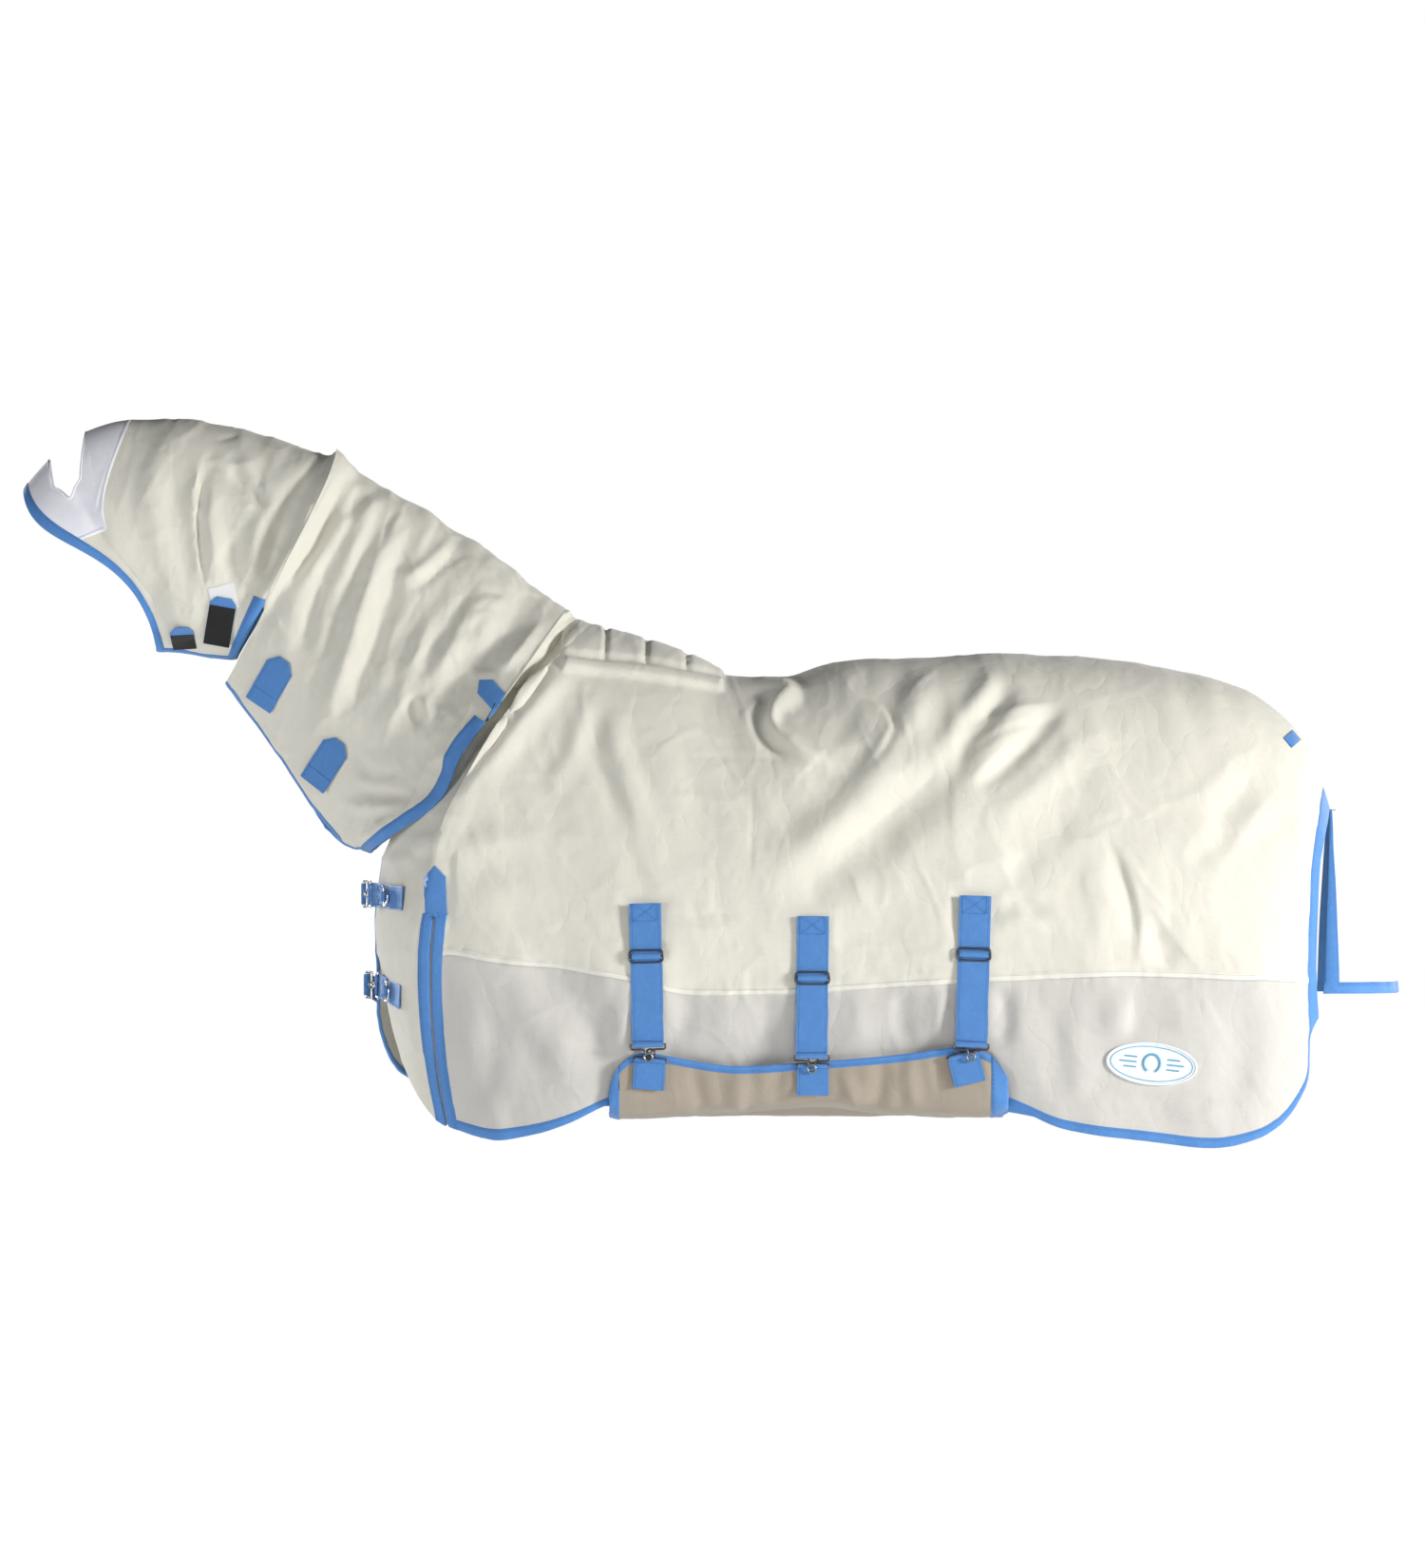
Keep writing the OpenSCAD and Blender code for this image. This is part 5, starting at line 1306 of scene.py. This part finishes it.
class Wrap:
    """The wrap as a skin: u runs along the stations, w from the near edge to the far one."""

    side = -1
    lines = np.zeros((9, 13))

    def frame(self, u, w):
        u, w = np.broadcast_arrays(np.asarray(u, float), np.asarray(w, float))
        p = self.spot(u, w)
        a = self.spot(np.minimum(u + 0.2, 8), w) - self.spot(np.maximum(u - 0.2, 0), w)
        d = self.spot(u, np.minimum(w + 0.1, 12)) - self.spot(u, np.maximum(w - 0.1, 0))
        c = np.cross(d, a)
        c /= np.linalg.norm(c, axis=-1, keepdims=True) + 1e-12
        return p, c

    def spot(self, u, w):
        shape = u.shape
        rows = hermite(WRAP_TABLE.reshape(9, -1), u.ravel()).reshape(-1, 13, 3)
        k = np.minimum(w.ravel().astype(int), 11)
        t = (w.ravel() - k)[:, None]
        d = np.diff(rows, axis=1)
        n = np.arange(len(k))
        m = np.zeros_like(rows)
        m[:, 1:-1] = 0.5 * (d[:, :-1] + d[:, 1:])
        m[:, 0], m[:, -1] = d[:, 0], d[:, -1]
        la, lb = np.linalg.norm(m[n, k], axis=1), np.linalg.norm(m[n, k + 1], axis=1)
        ld = np.linalg.norm(d[n, k], axis=1)
        ma = m[n, k] * (np.minimum(la, 1.2 * ld) / (la + 1e-9))[:, None]
        mb = m[n, k + 1] * (np.minimum(lb, 1.2 * ld) / (lb + 1e-9))[:, None]
        a, b = rows[n, k], rows[n, k + 1]
        q = ((2 * t**3 - 3 * t**2 + 1) * a + (t**3 - 2 * t**2 + t) * ma
             + (-2 * t**3 + 3 * t**2) * b + (t**3 - t**2) * mb)
        return q.reshape(*shape, 3)

    def at(self, u, w, lift):
        p, c = self.frame(u, w)
        x, y, z = p.reshape(-1, 3).T
        f = fold_sum(x, z, WRAP_FOLDS) + 1.6 * grain(x / 60, (z + y) / 60, 200)
        f = f + 0.7 * grain(x / 24, (z + y) / 40, 201)
        f = f + 0.3 * grain(x / 9, (z + y) / 12, 202)
        keep = np.ones_like(f)
        for cx in CATCH_X:
            keep = keep * (0.15 + 0.85 * smooth((np.abs(x - cx) - 26) / 20))
        keep = np.where(y < -200, keep, 1)
        f = (f * keep * smooth((235 - y) / 50)).reshape(p.shape[:-1])
        return p + c * (f + lift)[..., None]


wrap_skin = Wrap()


def wrap_lines(first, last, gap=6.0):
    """Line numbers from first to last, about gap apart at the wrap's middle station."""
    path = WRAP_TABLE[4]
    counts = [max(2, int(round(np.linalg.norm(path[k + 1] - path[k]) / gap))) for k in range(first, last)]
    return first + cuts(counts)[0]


wrap = grid_panel("belly_wrap_cloth", wrap_skin, fine(1, 7, wrap_skin, 3), wrap_lines(1, 12),
                  lambda outer, lines: np.stack([outer[..., 0] * 0.001, lines * 0.03], -1), WRAP)
wrap_b = join("belly_wrap_tape", bands(([wrap_skin], 1, 0, 1, 7), ([wrap_skin], 1, 0, 0, 12, "u"),
                                       ([wrap_skin], 7, 8, 0, 12, "u")))
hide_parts("belly_wrap")
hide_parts("belly_wrap_binding")
for o, s in ((wrap, "wrap_cloth"), (wrap_b, "blue_binding")):
    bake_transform(o)

# ---------------------------------------------------------------- belly straps
# Place of the sewn top (x, y, z), heights of adjuster and hook, and two small tilts in degrees.
STRAPS = [[-166, -286.6, -351, -434, -573, -1.2, 0], [98, -291.2, -371, -468, -591, 0.6, 2.4],
          [353, -292, -339, -431, -573, 1.6, 0]]


def strap_matrix(s):
    return (Matrix.Translation((s[0], s[1], s[2])) @ Matrix.Rotation(math.radians(s[5]), 4, "Y")
            @ Matrix.Rotation(math.radians(s[6]), 4, "X"))


def placed(m, points):
    return np.array([list(m @ Vector(p)) for p in np.atleast_2d(points)])


def width_of(m):
    """The width direction of webbing that m places."""
    return np.array(m.to_3x3() @ Vector((1, 0, 0)))


def arc(y, z, ry, rz, start, end, n):
    """Part of an ellipse in the y, z plane. The angle is counted from +z towards +y."""
    return [(0, y + ry * math.sin(a), z + rz * math.cos(a)) for a in np.radians(np.linspace(start, end, n))]


def cross_bar(half, n, y=0.0):
    """A straight bar from side to side."""
    return [(x, y, 0) for x in np.linspace(-half, half, n)]


def round_eye(radius, y, z):
    """A ring in the x, z plane."""
    return [(radius * math.cos(a), y, z + radius * math.sin(a)) for a in np.linspace(0, 2 * math.pi, 25)[:-1]]


def box_stitch(m, w, h, y, mat):
    """A sewn box with a cross in it."""
    lines = [[(-w, 0), (w, 0)], [(w, 0), (w, h)], [(w, h), (-w, h)], [(-w, h), (-w, 0)],
             [(-w, 0), (w, h)], [(w, 0), (-w, h)]]
    out = []
    for a, b in lines:
        n = int(np.hypot(b[0] - a[0], b[1] - a[1]) / 4.2)
        for k in range(n):
            t0, t1 = k / n, (k + 0.62) / n
            pa = [a[0] + (b[0] - a[0]) * t0, y, a[1] + (b[1] - a[1]) * t0]
            pb = [a[0] + (b[0] - a[0]) * t1, y, a[1] + (b[1] - a[1]) * t1]
            out.append(wire("s", placed(m, [pa, pb]), 0.45, mat, 4))
    return out


for k, s in enumerate(STRAPS):
    m = strap_matrix(s)
    across = width_of(m)
    length, drop = s[2] - s[4], s[2] - s[3]
    name = f"strap_{k + 1}"
    up = []
    for z in np.concatenate([np.linspace(0, -38, 10), np.linspace(-43, -(drop - 8), 12)]):
        p = placed(m, [0, -1.5, z])[0]
        if z > -39:
            p[1] = min(drop_on(body_tree, p[0], p[2])[0][1] - 1.6, p[1])
        up.append(p)
    # lower run: from behind the adjuster's top bar, over it, and down to the hook
    low_z = np.linspace(-(drop - 12), -(length - 6), 34)
    waves = 1.2 * grain(low_z / 26 + 9 * k, 0 * low_z, 210) + 0.5 * grain(low_z / 9 + 5 * k, 0 * low_z, 211)
    low = np.stack([0.5 * waves, -1.8 + np.clip(waves, -0.6, 0.8) * 0.6, low_z], 1)
    fold_z = np.linspace(-(drop + 12), -(drop + 40), 10)
    fold = [(0, -2.8 + 0.1 * math.sin(i), z) for i, z in enumerate(fold_z)]
    webbing = join(name + "_webbing", [
        ribbon("upper", spaced(up, 4), across, 50, 1.9, STRAPWEB),
        ribbon("lower", placed(m, low), across, 50, 1.9, STRAPWEB),
        ribbon("fold", placed(m, fold), across, 49, 0.9, STRAPWEB),
        *box_stitch(m, 19, -28, -3.4, BLUETHREAD)])
    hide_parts(name)
    a = placed(m, [0, -3, -34])[0] * 0.001
    b = placed(m, [0, -3, -50])[0] * 0.001
    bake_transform(webbing)
    turn = arc(-3.2, -length, 3.55, 3.55, 25, -300, 22)
    back = [(0, -0.2, z) for z in np.linspace(-(length - 30), -(length - 3), 8)]
    hook_loop = [ribbon("turn", placed(m, turn), across, 49, 1.7, WEB),
                 ribbon("back", placed(m, back), across, 49, 1.2, WEB)]
    done(join(name + "_hook_loop", hook_loop), name, "blue_webbing")
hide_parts("strap_tops")

for k, s in enumerate(STRAPS):
    name = f"adjuster_{k + 1}"
    m = strap_matrix(s) @ Matrix.Translation((0, -5.1, s[3] - s[2]))
    reach, half, r = 26.6, 9.5, 6.5
    corners = ((1, 1), (-1, 1), (-1, -1), (1, -1))
    ring = [(sx * (reach - r) + r * math.cos(a), 0, sz * (half - r) + r * math.sin(a))
            for i, (sx, sz) in enumerate(corners) for a in np.radians(np.linspace(90 * i, 90 * i + 90, 9))]
    done(join(name + "_slide", [wire("ring", placed(m, ring), 1.55, DARK, 12, True),
                                wire("bar", placed(m, cross_bar(reach, 9)), 1.4, DARK)]),
         name, "dark_metal", name)
    roll = arc(0.2, 0, -3.9, 4.4, -8, 188, 22)
    done(ribbon(name + "_turn", placed(m, roll), width_of(m), 46, 1.6, WEB),
         name, "blue_webbing", f"adjuster_roll_{k + 1}")

for k, s in enumerate(STRAPS):
    name = f"t_hook_{k + 1}"
    m = strap_matrix(s) @ Matrix.Translation((0, -3.2, s[4] - s[2]))
    parts = [wire("bar", placed(m, cross_bar(28.6, 15)), 2.0, BRIGHT_DARK)]
    for a in (-1, 1):
        arm = [(27, 0, 2), (27.2, 0, -4), (25, -0.3, -7), (16, -0.4, -7.4), (8, -0.2, -8), (5.4, 0, -11),
               (5.2, 0, -15)]
        parts.append(wire("side", placed(m, spaced([(a * x, y, z) for x, y, z in arm], 1.6)), 1.7, DARK, 10))
    parts.append(wire("eye", placed(m, round_eye(6.3, 0, -19.5)), 1.75, BRIGHT_DARK, 12, True))
    done(join(name + "_metal", parts), name, "dark_metal", name)

# Catches on the wrap, with the tabs that hold them: x, y, z and lean in degrees.
CATCHES = [[CATCH_X[0], -282.8, -598, 4], [CATCH_X[1], -277.4, -607, 1], [CATCH_X[2], -287.4, -590, -14]]
wrap_tree = tree_of(wrap, wrap_b)
tabs, plates = [], []
for x, y, z, lean in CATCHES:
    m = Matrix.Translation((x, y, z)) @ Matrix.Rotation(math.radians(lean), 4, "Y")
    tab = []
    for down in np.linspace(-3, -46, 16):
        p = placed(m, [0, -1.2, down])[0]
        p[1] = min(drop_on(wrap_tree, p[0], p[2])[0][1] - 1.3, p[1] + 0.3)
        tab.append(p)
    tabs.append(ribbon("tab", spaced(tab, 4), width_of(m), 50, 1.8, STRAPWEB))
    tabs.append(ribbon("turn", placed(m, arc(-1.4, 0, 3.0, 3.0, 150, -150, 16)), width_of(m), 47, 1.4, WEB))
    plates.append(wire("bar", placed(m, cross_bar(27, 13, -1.4)), 1.8, BRIGHT_DARK))
    for a in (-1, 1):
        leg = [(a * 26, -1.4, 0), (a * 24, -1.6, 3.6), (a * 12, -1.8, 4.4), (a * 7, -1.6, 5.4)]
        plates.append(wire("leg", placed(m, spaced(leg, 1.6)), 1.5, DARK, 10))
    plates.append(wire("eye", placed(m, round_eye(7, -1.3, 11)), 1.6, DARK, 12, True))
done(join("wrap_tab_webbing", tabs), "belly_wrap", "blue_webbing", "wrap_tabs")
done(join("catch_metal", plates), "belly_wrap", "dark_metal", "slot_plates")

# ---------------------------------------------------------------- tail flap
# Rows down the flap: height, x of the outermost place, x at the sides, half width.
FLAP_ROWS = np.array([
    [-206, 930, 917, 60], [-255, 946, 914, 92], [-315, 971, 911, 122], [-375, 994, 908, 142],
    [-435, 1012, 906, 154], [-476, 1021, 905, 159], [-494, 1023, 904, 160]], float)
FLAP_TURNS = np.array([-90, -82, -66, -48, -28, -9, 9, 28, 48, 66, 82, 90], float)


class Flap:
    """The flap as a skin: u runs round it from side to side, w down it."""

    side = 1
    lines = np.zeros((12, 7))

    def spot(self, u, w):
        r = hermite(FLAP_ROWS, w)
        a = np.radians(np.interp(u, np.arange(12), FLAP_TURNS))
        x = r[..., 2] + (r[..., 1] - r[..., 2]) * np.maximum(np.cos(a), 0)**0.8
        return np.stack([x, r[..., 3] * np.sin(a), r[..., 0]], -1)

    def frame(self, u, w):
        u, w = np.broadcast_arrays(np.asarray(u, float), np.asarray(w, float))
        p = self.spot(u, w)
        a = self.spot(np.minimum(u + 0.3, 11), w) - self.spot(np.maximum(u - 0.3, 0), w)
        d = self.spot(u, np.minimum(w + 0.1, 6)) - self.spot(u, np.maximum(w - 0.1, 0))
        c = -np.cross(a, d)
        c = np.where(c[..., 0:1] < 0, -c, c)
        c /= np.linalg.norm(c, axis=-1, keepdims=True) + 1e-12
        return p, c

    def at(self, u, w, lift):
        p, c = self.frame(u, w)
        y, z = p[..., 1], p[..., 2]
        drop = smooth((-206 - z) / 180)
        f = drop * (2.6 * np.sin(y / 21 + 0.6) + 2.4 * grain(y / 34, z / 150, 300))
        f = f + 1.0 * grain(y / 14, z / 50, 301)
        f = f + 0.3 * grain(y / 6, z / 9, 302) + 3.0 * np.exp(-(z + 206) / -30) * np.sin(y / 7)
        edge = smooth((90 - np.abs(np.interp(u, np.arange(12), FLAP_TURNS))) / 30)
        return p + c * (f * (0.25 + 0.75 * edge) + lift)[..., None]


flap_skin = Flap()


def flap_uv(outer, lines):
    """uv in metres, measured along the middle row and column of the grid."""
    nu, nw = lines.shape
    run, fall = run_along(outer[:, nw // 2]) * 0.001, run_along(outer[nu // 2]) * 0.001
    return np.stack(np.meshgrid(run, fall, indexing="ij"), -1)


tail = grid_panel("tail_flap_cloth", flap_skin, fine(1, 10, flap_skin, 4), fine_w(0, 5, flap_skin, 5),
                  flap_uv, FLAP)
tail_b = join("tail_flap_tape", bands(([flap_skin], 1, 0, 0, 6, "u", 1), ([flap_skin], 10, 11, 0, 6, "u", 10),
                                      ([flap_skin], 5, 6, 0, 11)))
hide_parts("tail_flap")
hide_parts("tail_flap_binding")
for o, s in ((tail, "flap_mesh"), (tail_b, "blue_binding")):
    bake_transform(o)

# ---------------------------------------------------------------- chest closures
# Near tab: x, y, z and heading. Far tab: x, y and heading. Last, how far both slope.
CLOSURES = [[-597, -74, -338, -65, -609.3, 38, -70, 3], [-585.4, -74, -482, -73, -605.4, 38, -78, 9]]
MIRROR = Matrix.Scale(-1, 4, (0, 1, 0))


def near_tab_m(k, slope):
    c = CLOSURES[k]
    return (Matrix.Translation((c[0], c[1], c[2])) @ Matrix.Rotation(math.radians(c[3]), 4, "Z")
            @ Matrix.Rotation(math.radians(slope), 4, "Y"))


def far_tab_m(k, slope):
    c = CLOSURES[k]
    return (MIRROR @ Matrix.Translation((c[4], -c[5], c[2])) @ Matrix.Rotation(math.radians(c[6]), 4, "Z")
            @ Matrix.Rotation(math.radians(slope), 4, "Y"))


def flat_arc(x, y, rx, ry, start, end, n):
    """Part of an ellipse in the x, y plane. The angle is counted from -y towards +x."""
    return [(x + rx * math.sin(a), y - ry * math.cos(a), 0) for a in np.radians(np.linspace(start, end, n))]


def chest_webbing(m, m0):
    """A chest tab along m, and its loop round the D-ring's bar or the snap's eye, at m0."""
    along = [(x, -1.3 - 0.25 * math.sin(x / 9), 0) for x in np.linspace(2, 116, 30)]
    loop = flat_arc(-2, -3.6, 3.9, 3.9, 60, -250, 22)
    return [ribbon("tab", placed(m, along), upright(m), 38, 2.0, STRAPWEB),
            ribbon("loop", placed(m0, loop), (0, 0, 1), 34, 1.6, WEB)]


def upright(m):
    """The width direction of a tab that lies along x."""
    return np.array(m.to_3x3() @ Vector((0, 0, 1)))


near_tabs, far_tabs = [], []
for k, closure in enumerate(CLOSURES):
    m = near_tab_m(k, closure[7])
    near_tabs += chest_webbing(m, near_tab_m(k, 0))
    over = [(x, -3.1 - 0.2 * math.sin(x / 7), 0) for x in np.linspace(3, 44, 14)]
    near_tabs.append(ribbon("over", placed(m, over), upright(m), 37, 1.4, STRAPWEB))
    keeper = flat_arc(56, -6.6, 5.2, 4.4, -140, 140, 18)
    near_tabs.append(ribbon("keeper", placed(m, keeper), upright(m), 16, 1.2, WEB))
    sewn = m @ Matrix.Translation((24, 0, 0)) @ Matrix.Rotation(math.radians(90), 4, "Y")
    near_tabs += box_stitch(sewn, 14, 30, -3.9, BLUETHREAD)
    far_tabs += chest_webbing(far_tab_m(k, closure[7]), far_tab_m(k, 0))
done(join("near_tab_webbing", near_tabs), "cover", "blue_webbing", "chest_tabs_near")
done(join("far_tab_webbing", far_tabs), "cover", "blue_webbing", "chest_tabs_far")

# ---------------------------------------------------------------- neck and throat tabs
# Each tab's near half: x, y, z and turns about X, Z and Y, then its width and length if it has them.
NECK_TABS = [[-778.5, -79.2, -38.6, 10.4, -20.6, 34], [-692.9, -90.7, -164.1, 9.9, -23.9, 37.8]]
THROAT = [[-845.1, -72.5, 57.3, 19.8, -4.2, 10.8, 42, 80], [-895.3, -49.4, 52.5, 43.5, -6.6, -4, 38, 44]]


def tab_m(c):
    return (Matrix.Translation((c[0], c[1], c[2])) @ Matrix.Rotation(math.radians(c[4]), 4, "Z")
            @ Matrix.Rotation(math.radians(c[3]), 4, "X") @ Matrix.Rotation(math.radians(c[5]), 4, "Y"))


def tab_shape(name, m, w, l, cut, mat, thick=1.9, back=1.2):
    """A flat tab with two cut corners at its upper end."""
    zs = np.concatenate([np.linspace(0, l - cut[1], 18), np.linspace(l - cut[1], l, 5)[1:]])
    half = np.where(zs > l - cut[1], w - cut[0] * (zs - (l - cut[1])) / cut[1], w)
    y = -back + 0.3 * np.sin(zs / 7)
    p = placed(m, np.stack([0 * zs, y, zs], 1))
    return ribbon(name, p, width_of(m), 2 * w, thick, mat, taper=half)


for k, c in enumerate(NECK_TABS):
    m = tab_m(c)
    a = tab_shape("a", m, 24, 88, (14, 16), STRAPWEB)
    b = tab_shape("b", m, 22.6, 24, (0.5, 1), WEB, 1.2, 2.6)
    done(join(f"neck_tab_{k + 1}_webbing", [a, b]), f"neck_tab_{k + 1}", "blue_webbing", f"neck_tab_{k + 1}")
bases = [tab_shape("a", MIRROR @ tab_m(c), 24, 60, (1, 2), STRAPWEB) for c in NECK_TABS]
done(join("neck_tab_base_webbing", bases), "cover", "blue_webbing", "neck_tab_bases")
for k, c in enumerate(THROAT):
    m = tab_m(c)
    w, l = c[6] / 2, c[7]
    hook = [(0, -2.5 + 0.25 * math.sin(z / 6), z) for z in np.linspace(-1, l - 15, 18)]
    parts = [tab_shape("tab", m, w, l, (9, 10), STRAPWEB, 1.5),
             ribbon("hook", placed(m, hook), width_of(m), 2 * w - 0.5, 1.5, HOOK)]
    done(join(f"throat_tab_{k + 1}_hook", parts), f"throat_tab_{k + 1}", "hook_tape", f"throat_tab_{k + 1}")
bases = [tab_shape("a", MIRROR @ tab_m(c), c[6] / 2, 40, (1, 2), STRAPWEB) for c in THROAT]
done(join("throat_tab_base_webbing", bases), "cover", "blue_webbing", "throat_tab_bases")

# ---------------------------------------------------------------- metal that CAD shows
for n in ("front_d_rings", "spare_d_ring_1", "spare_d_ring_2", "snap_body_1", "snap_body_2",
          "snap_bolt_1", "snap_bolt_2", "snap_eyes"):
    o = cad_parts[n]
    o.data.materials.clear()
    o.data.materials.append(BRIGHT)

# ---------------------------------------------------------------- stage, light, camera
def stage_mat(name, colour, glow):
    """A dull pale surface that glows a little by itself."""
    m, t, p = nodes_of(name)
    n = noise(t, 3, 2)
    c = blendc(t, maths(t, "MULTIPLY", n, 0.05), colour, shade(colour, 0.97))
    t.links.new(c, p.inputs["Base Color"])
    p.inputs["Roughness"].default_value = 0.9
    p.inputs["Emission Color"].default_value = (1, 1, 1, 1)
    p.inputs["Emission Strength"].default_value = glow
    return m


def dome(radius, rings=12, turns=32):
    """A pale surround far outside the object, seen behind it from every side."""
    points = [(radius * math.cos(e) * math.cos(a), radius * math.cos(e) * math.sin(a), radius * math.sin(e))
              for e in np.linspace(-math.pi / 2, math.pi / 2, rings + 1)
              for a in np.arange(turns) * 2 * math.pi / turns]
    faces = [(low + k, low + (k + 1) % turns, low + turns + (k + 1) % turns, low + turns + k)
             for low in range(0, rings * turns, turns) for k in range(turns)]
    white = stage_mat("stage_white", (0.02, 0.02, 0.02), 1.0)
    return mesh("surround", np.array(points) * 1000, faces, white)


surround = dome(90.0)
surround.visible_diffuse = surround.visible_glossy = surround.visible_shadow = False
FLOOR_HALF, FLOOR_Z = 4300, -1602
corners = [(FLOOR_HALF * x, FLOOR_HALF * y, FLOOR_Z) for x, y in ((-1, -1), (1, -1), (1, 1), (-1, 1))]
ground = mesh("floor", corners, [(0, 1, 2, 3)], stage_mat("stage_floor", (0.55, 0.55, 0.55), 0.45))


def area_light(name, place, aim, power, size, colour=(1, 1, 1)):
    """A square light at place that points at aim, both in metres."""
    d = bpy.data.lights.new(name, "AREA")
    d.energy, d.size, d.color = power, size, colour
    o = bpy.data.objects.new(name, d)
    bpy.context.scene.collection.objects.link(o)
    o.location = place
    o.rotation_euler = (Vector(aim) - Vector(place)).to_track_quat("-Z", "Y").to_euler()


area_light("key", (4.6, -2.5, 0.35), (0.2, 0, -0.25), 270, 1.1, (1.0, 0.995, 0.98))
area_light("front", (1.4, -6.5, 0.3), (0.1, 0, -0.2), 55, 1.3, (1.0, 1.0, 1.0))
area_light("fill", (-3.1, -2.3, -0.5), (-0.8, 0, 0.1), 38, 1.2, (0.97, 0.98, 1.0))
area_light("rear_key", (-3.6, 4.4, 0.5), (0.1, 0, -0.2), 150, 1.2)
area_light("rear_fill", (3.8, 4.6, 0.3), (0.2, 0, -0.2), 90, 1.6)
world = bpy.data.worlds.new("studio")
world.use_nodes = True
world.node_tree.nodes["Background"].inputs[0].default_value = (0.92, 0.96, 1.0, 1)
world.node_tree.nodes["Background"].inputs[1].default_value = 0.095
bpy.context.scene.world = world
bpy.context.scene.view_settings.view_transform = "Standard"

cam = bpy.data.cameras.new("camera")
cam.lens = 436.4
cam.sensor_width = 36
camera = bpy.data.objects.new("camera", cam)
bpy.context.scene.collection.objects.link(camera)
camera.location = (-0.060, -30.14, -0.1635)
camera.rotation_euler = (math.radians(90), 0, 0)
cam.clip_end = 250
bpy.context.scene.camera = camera
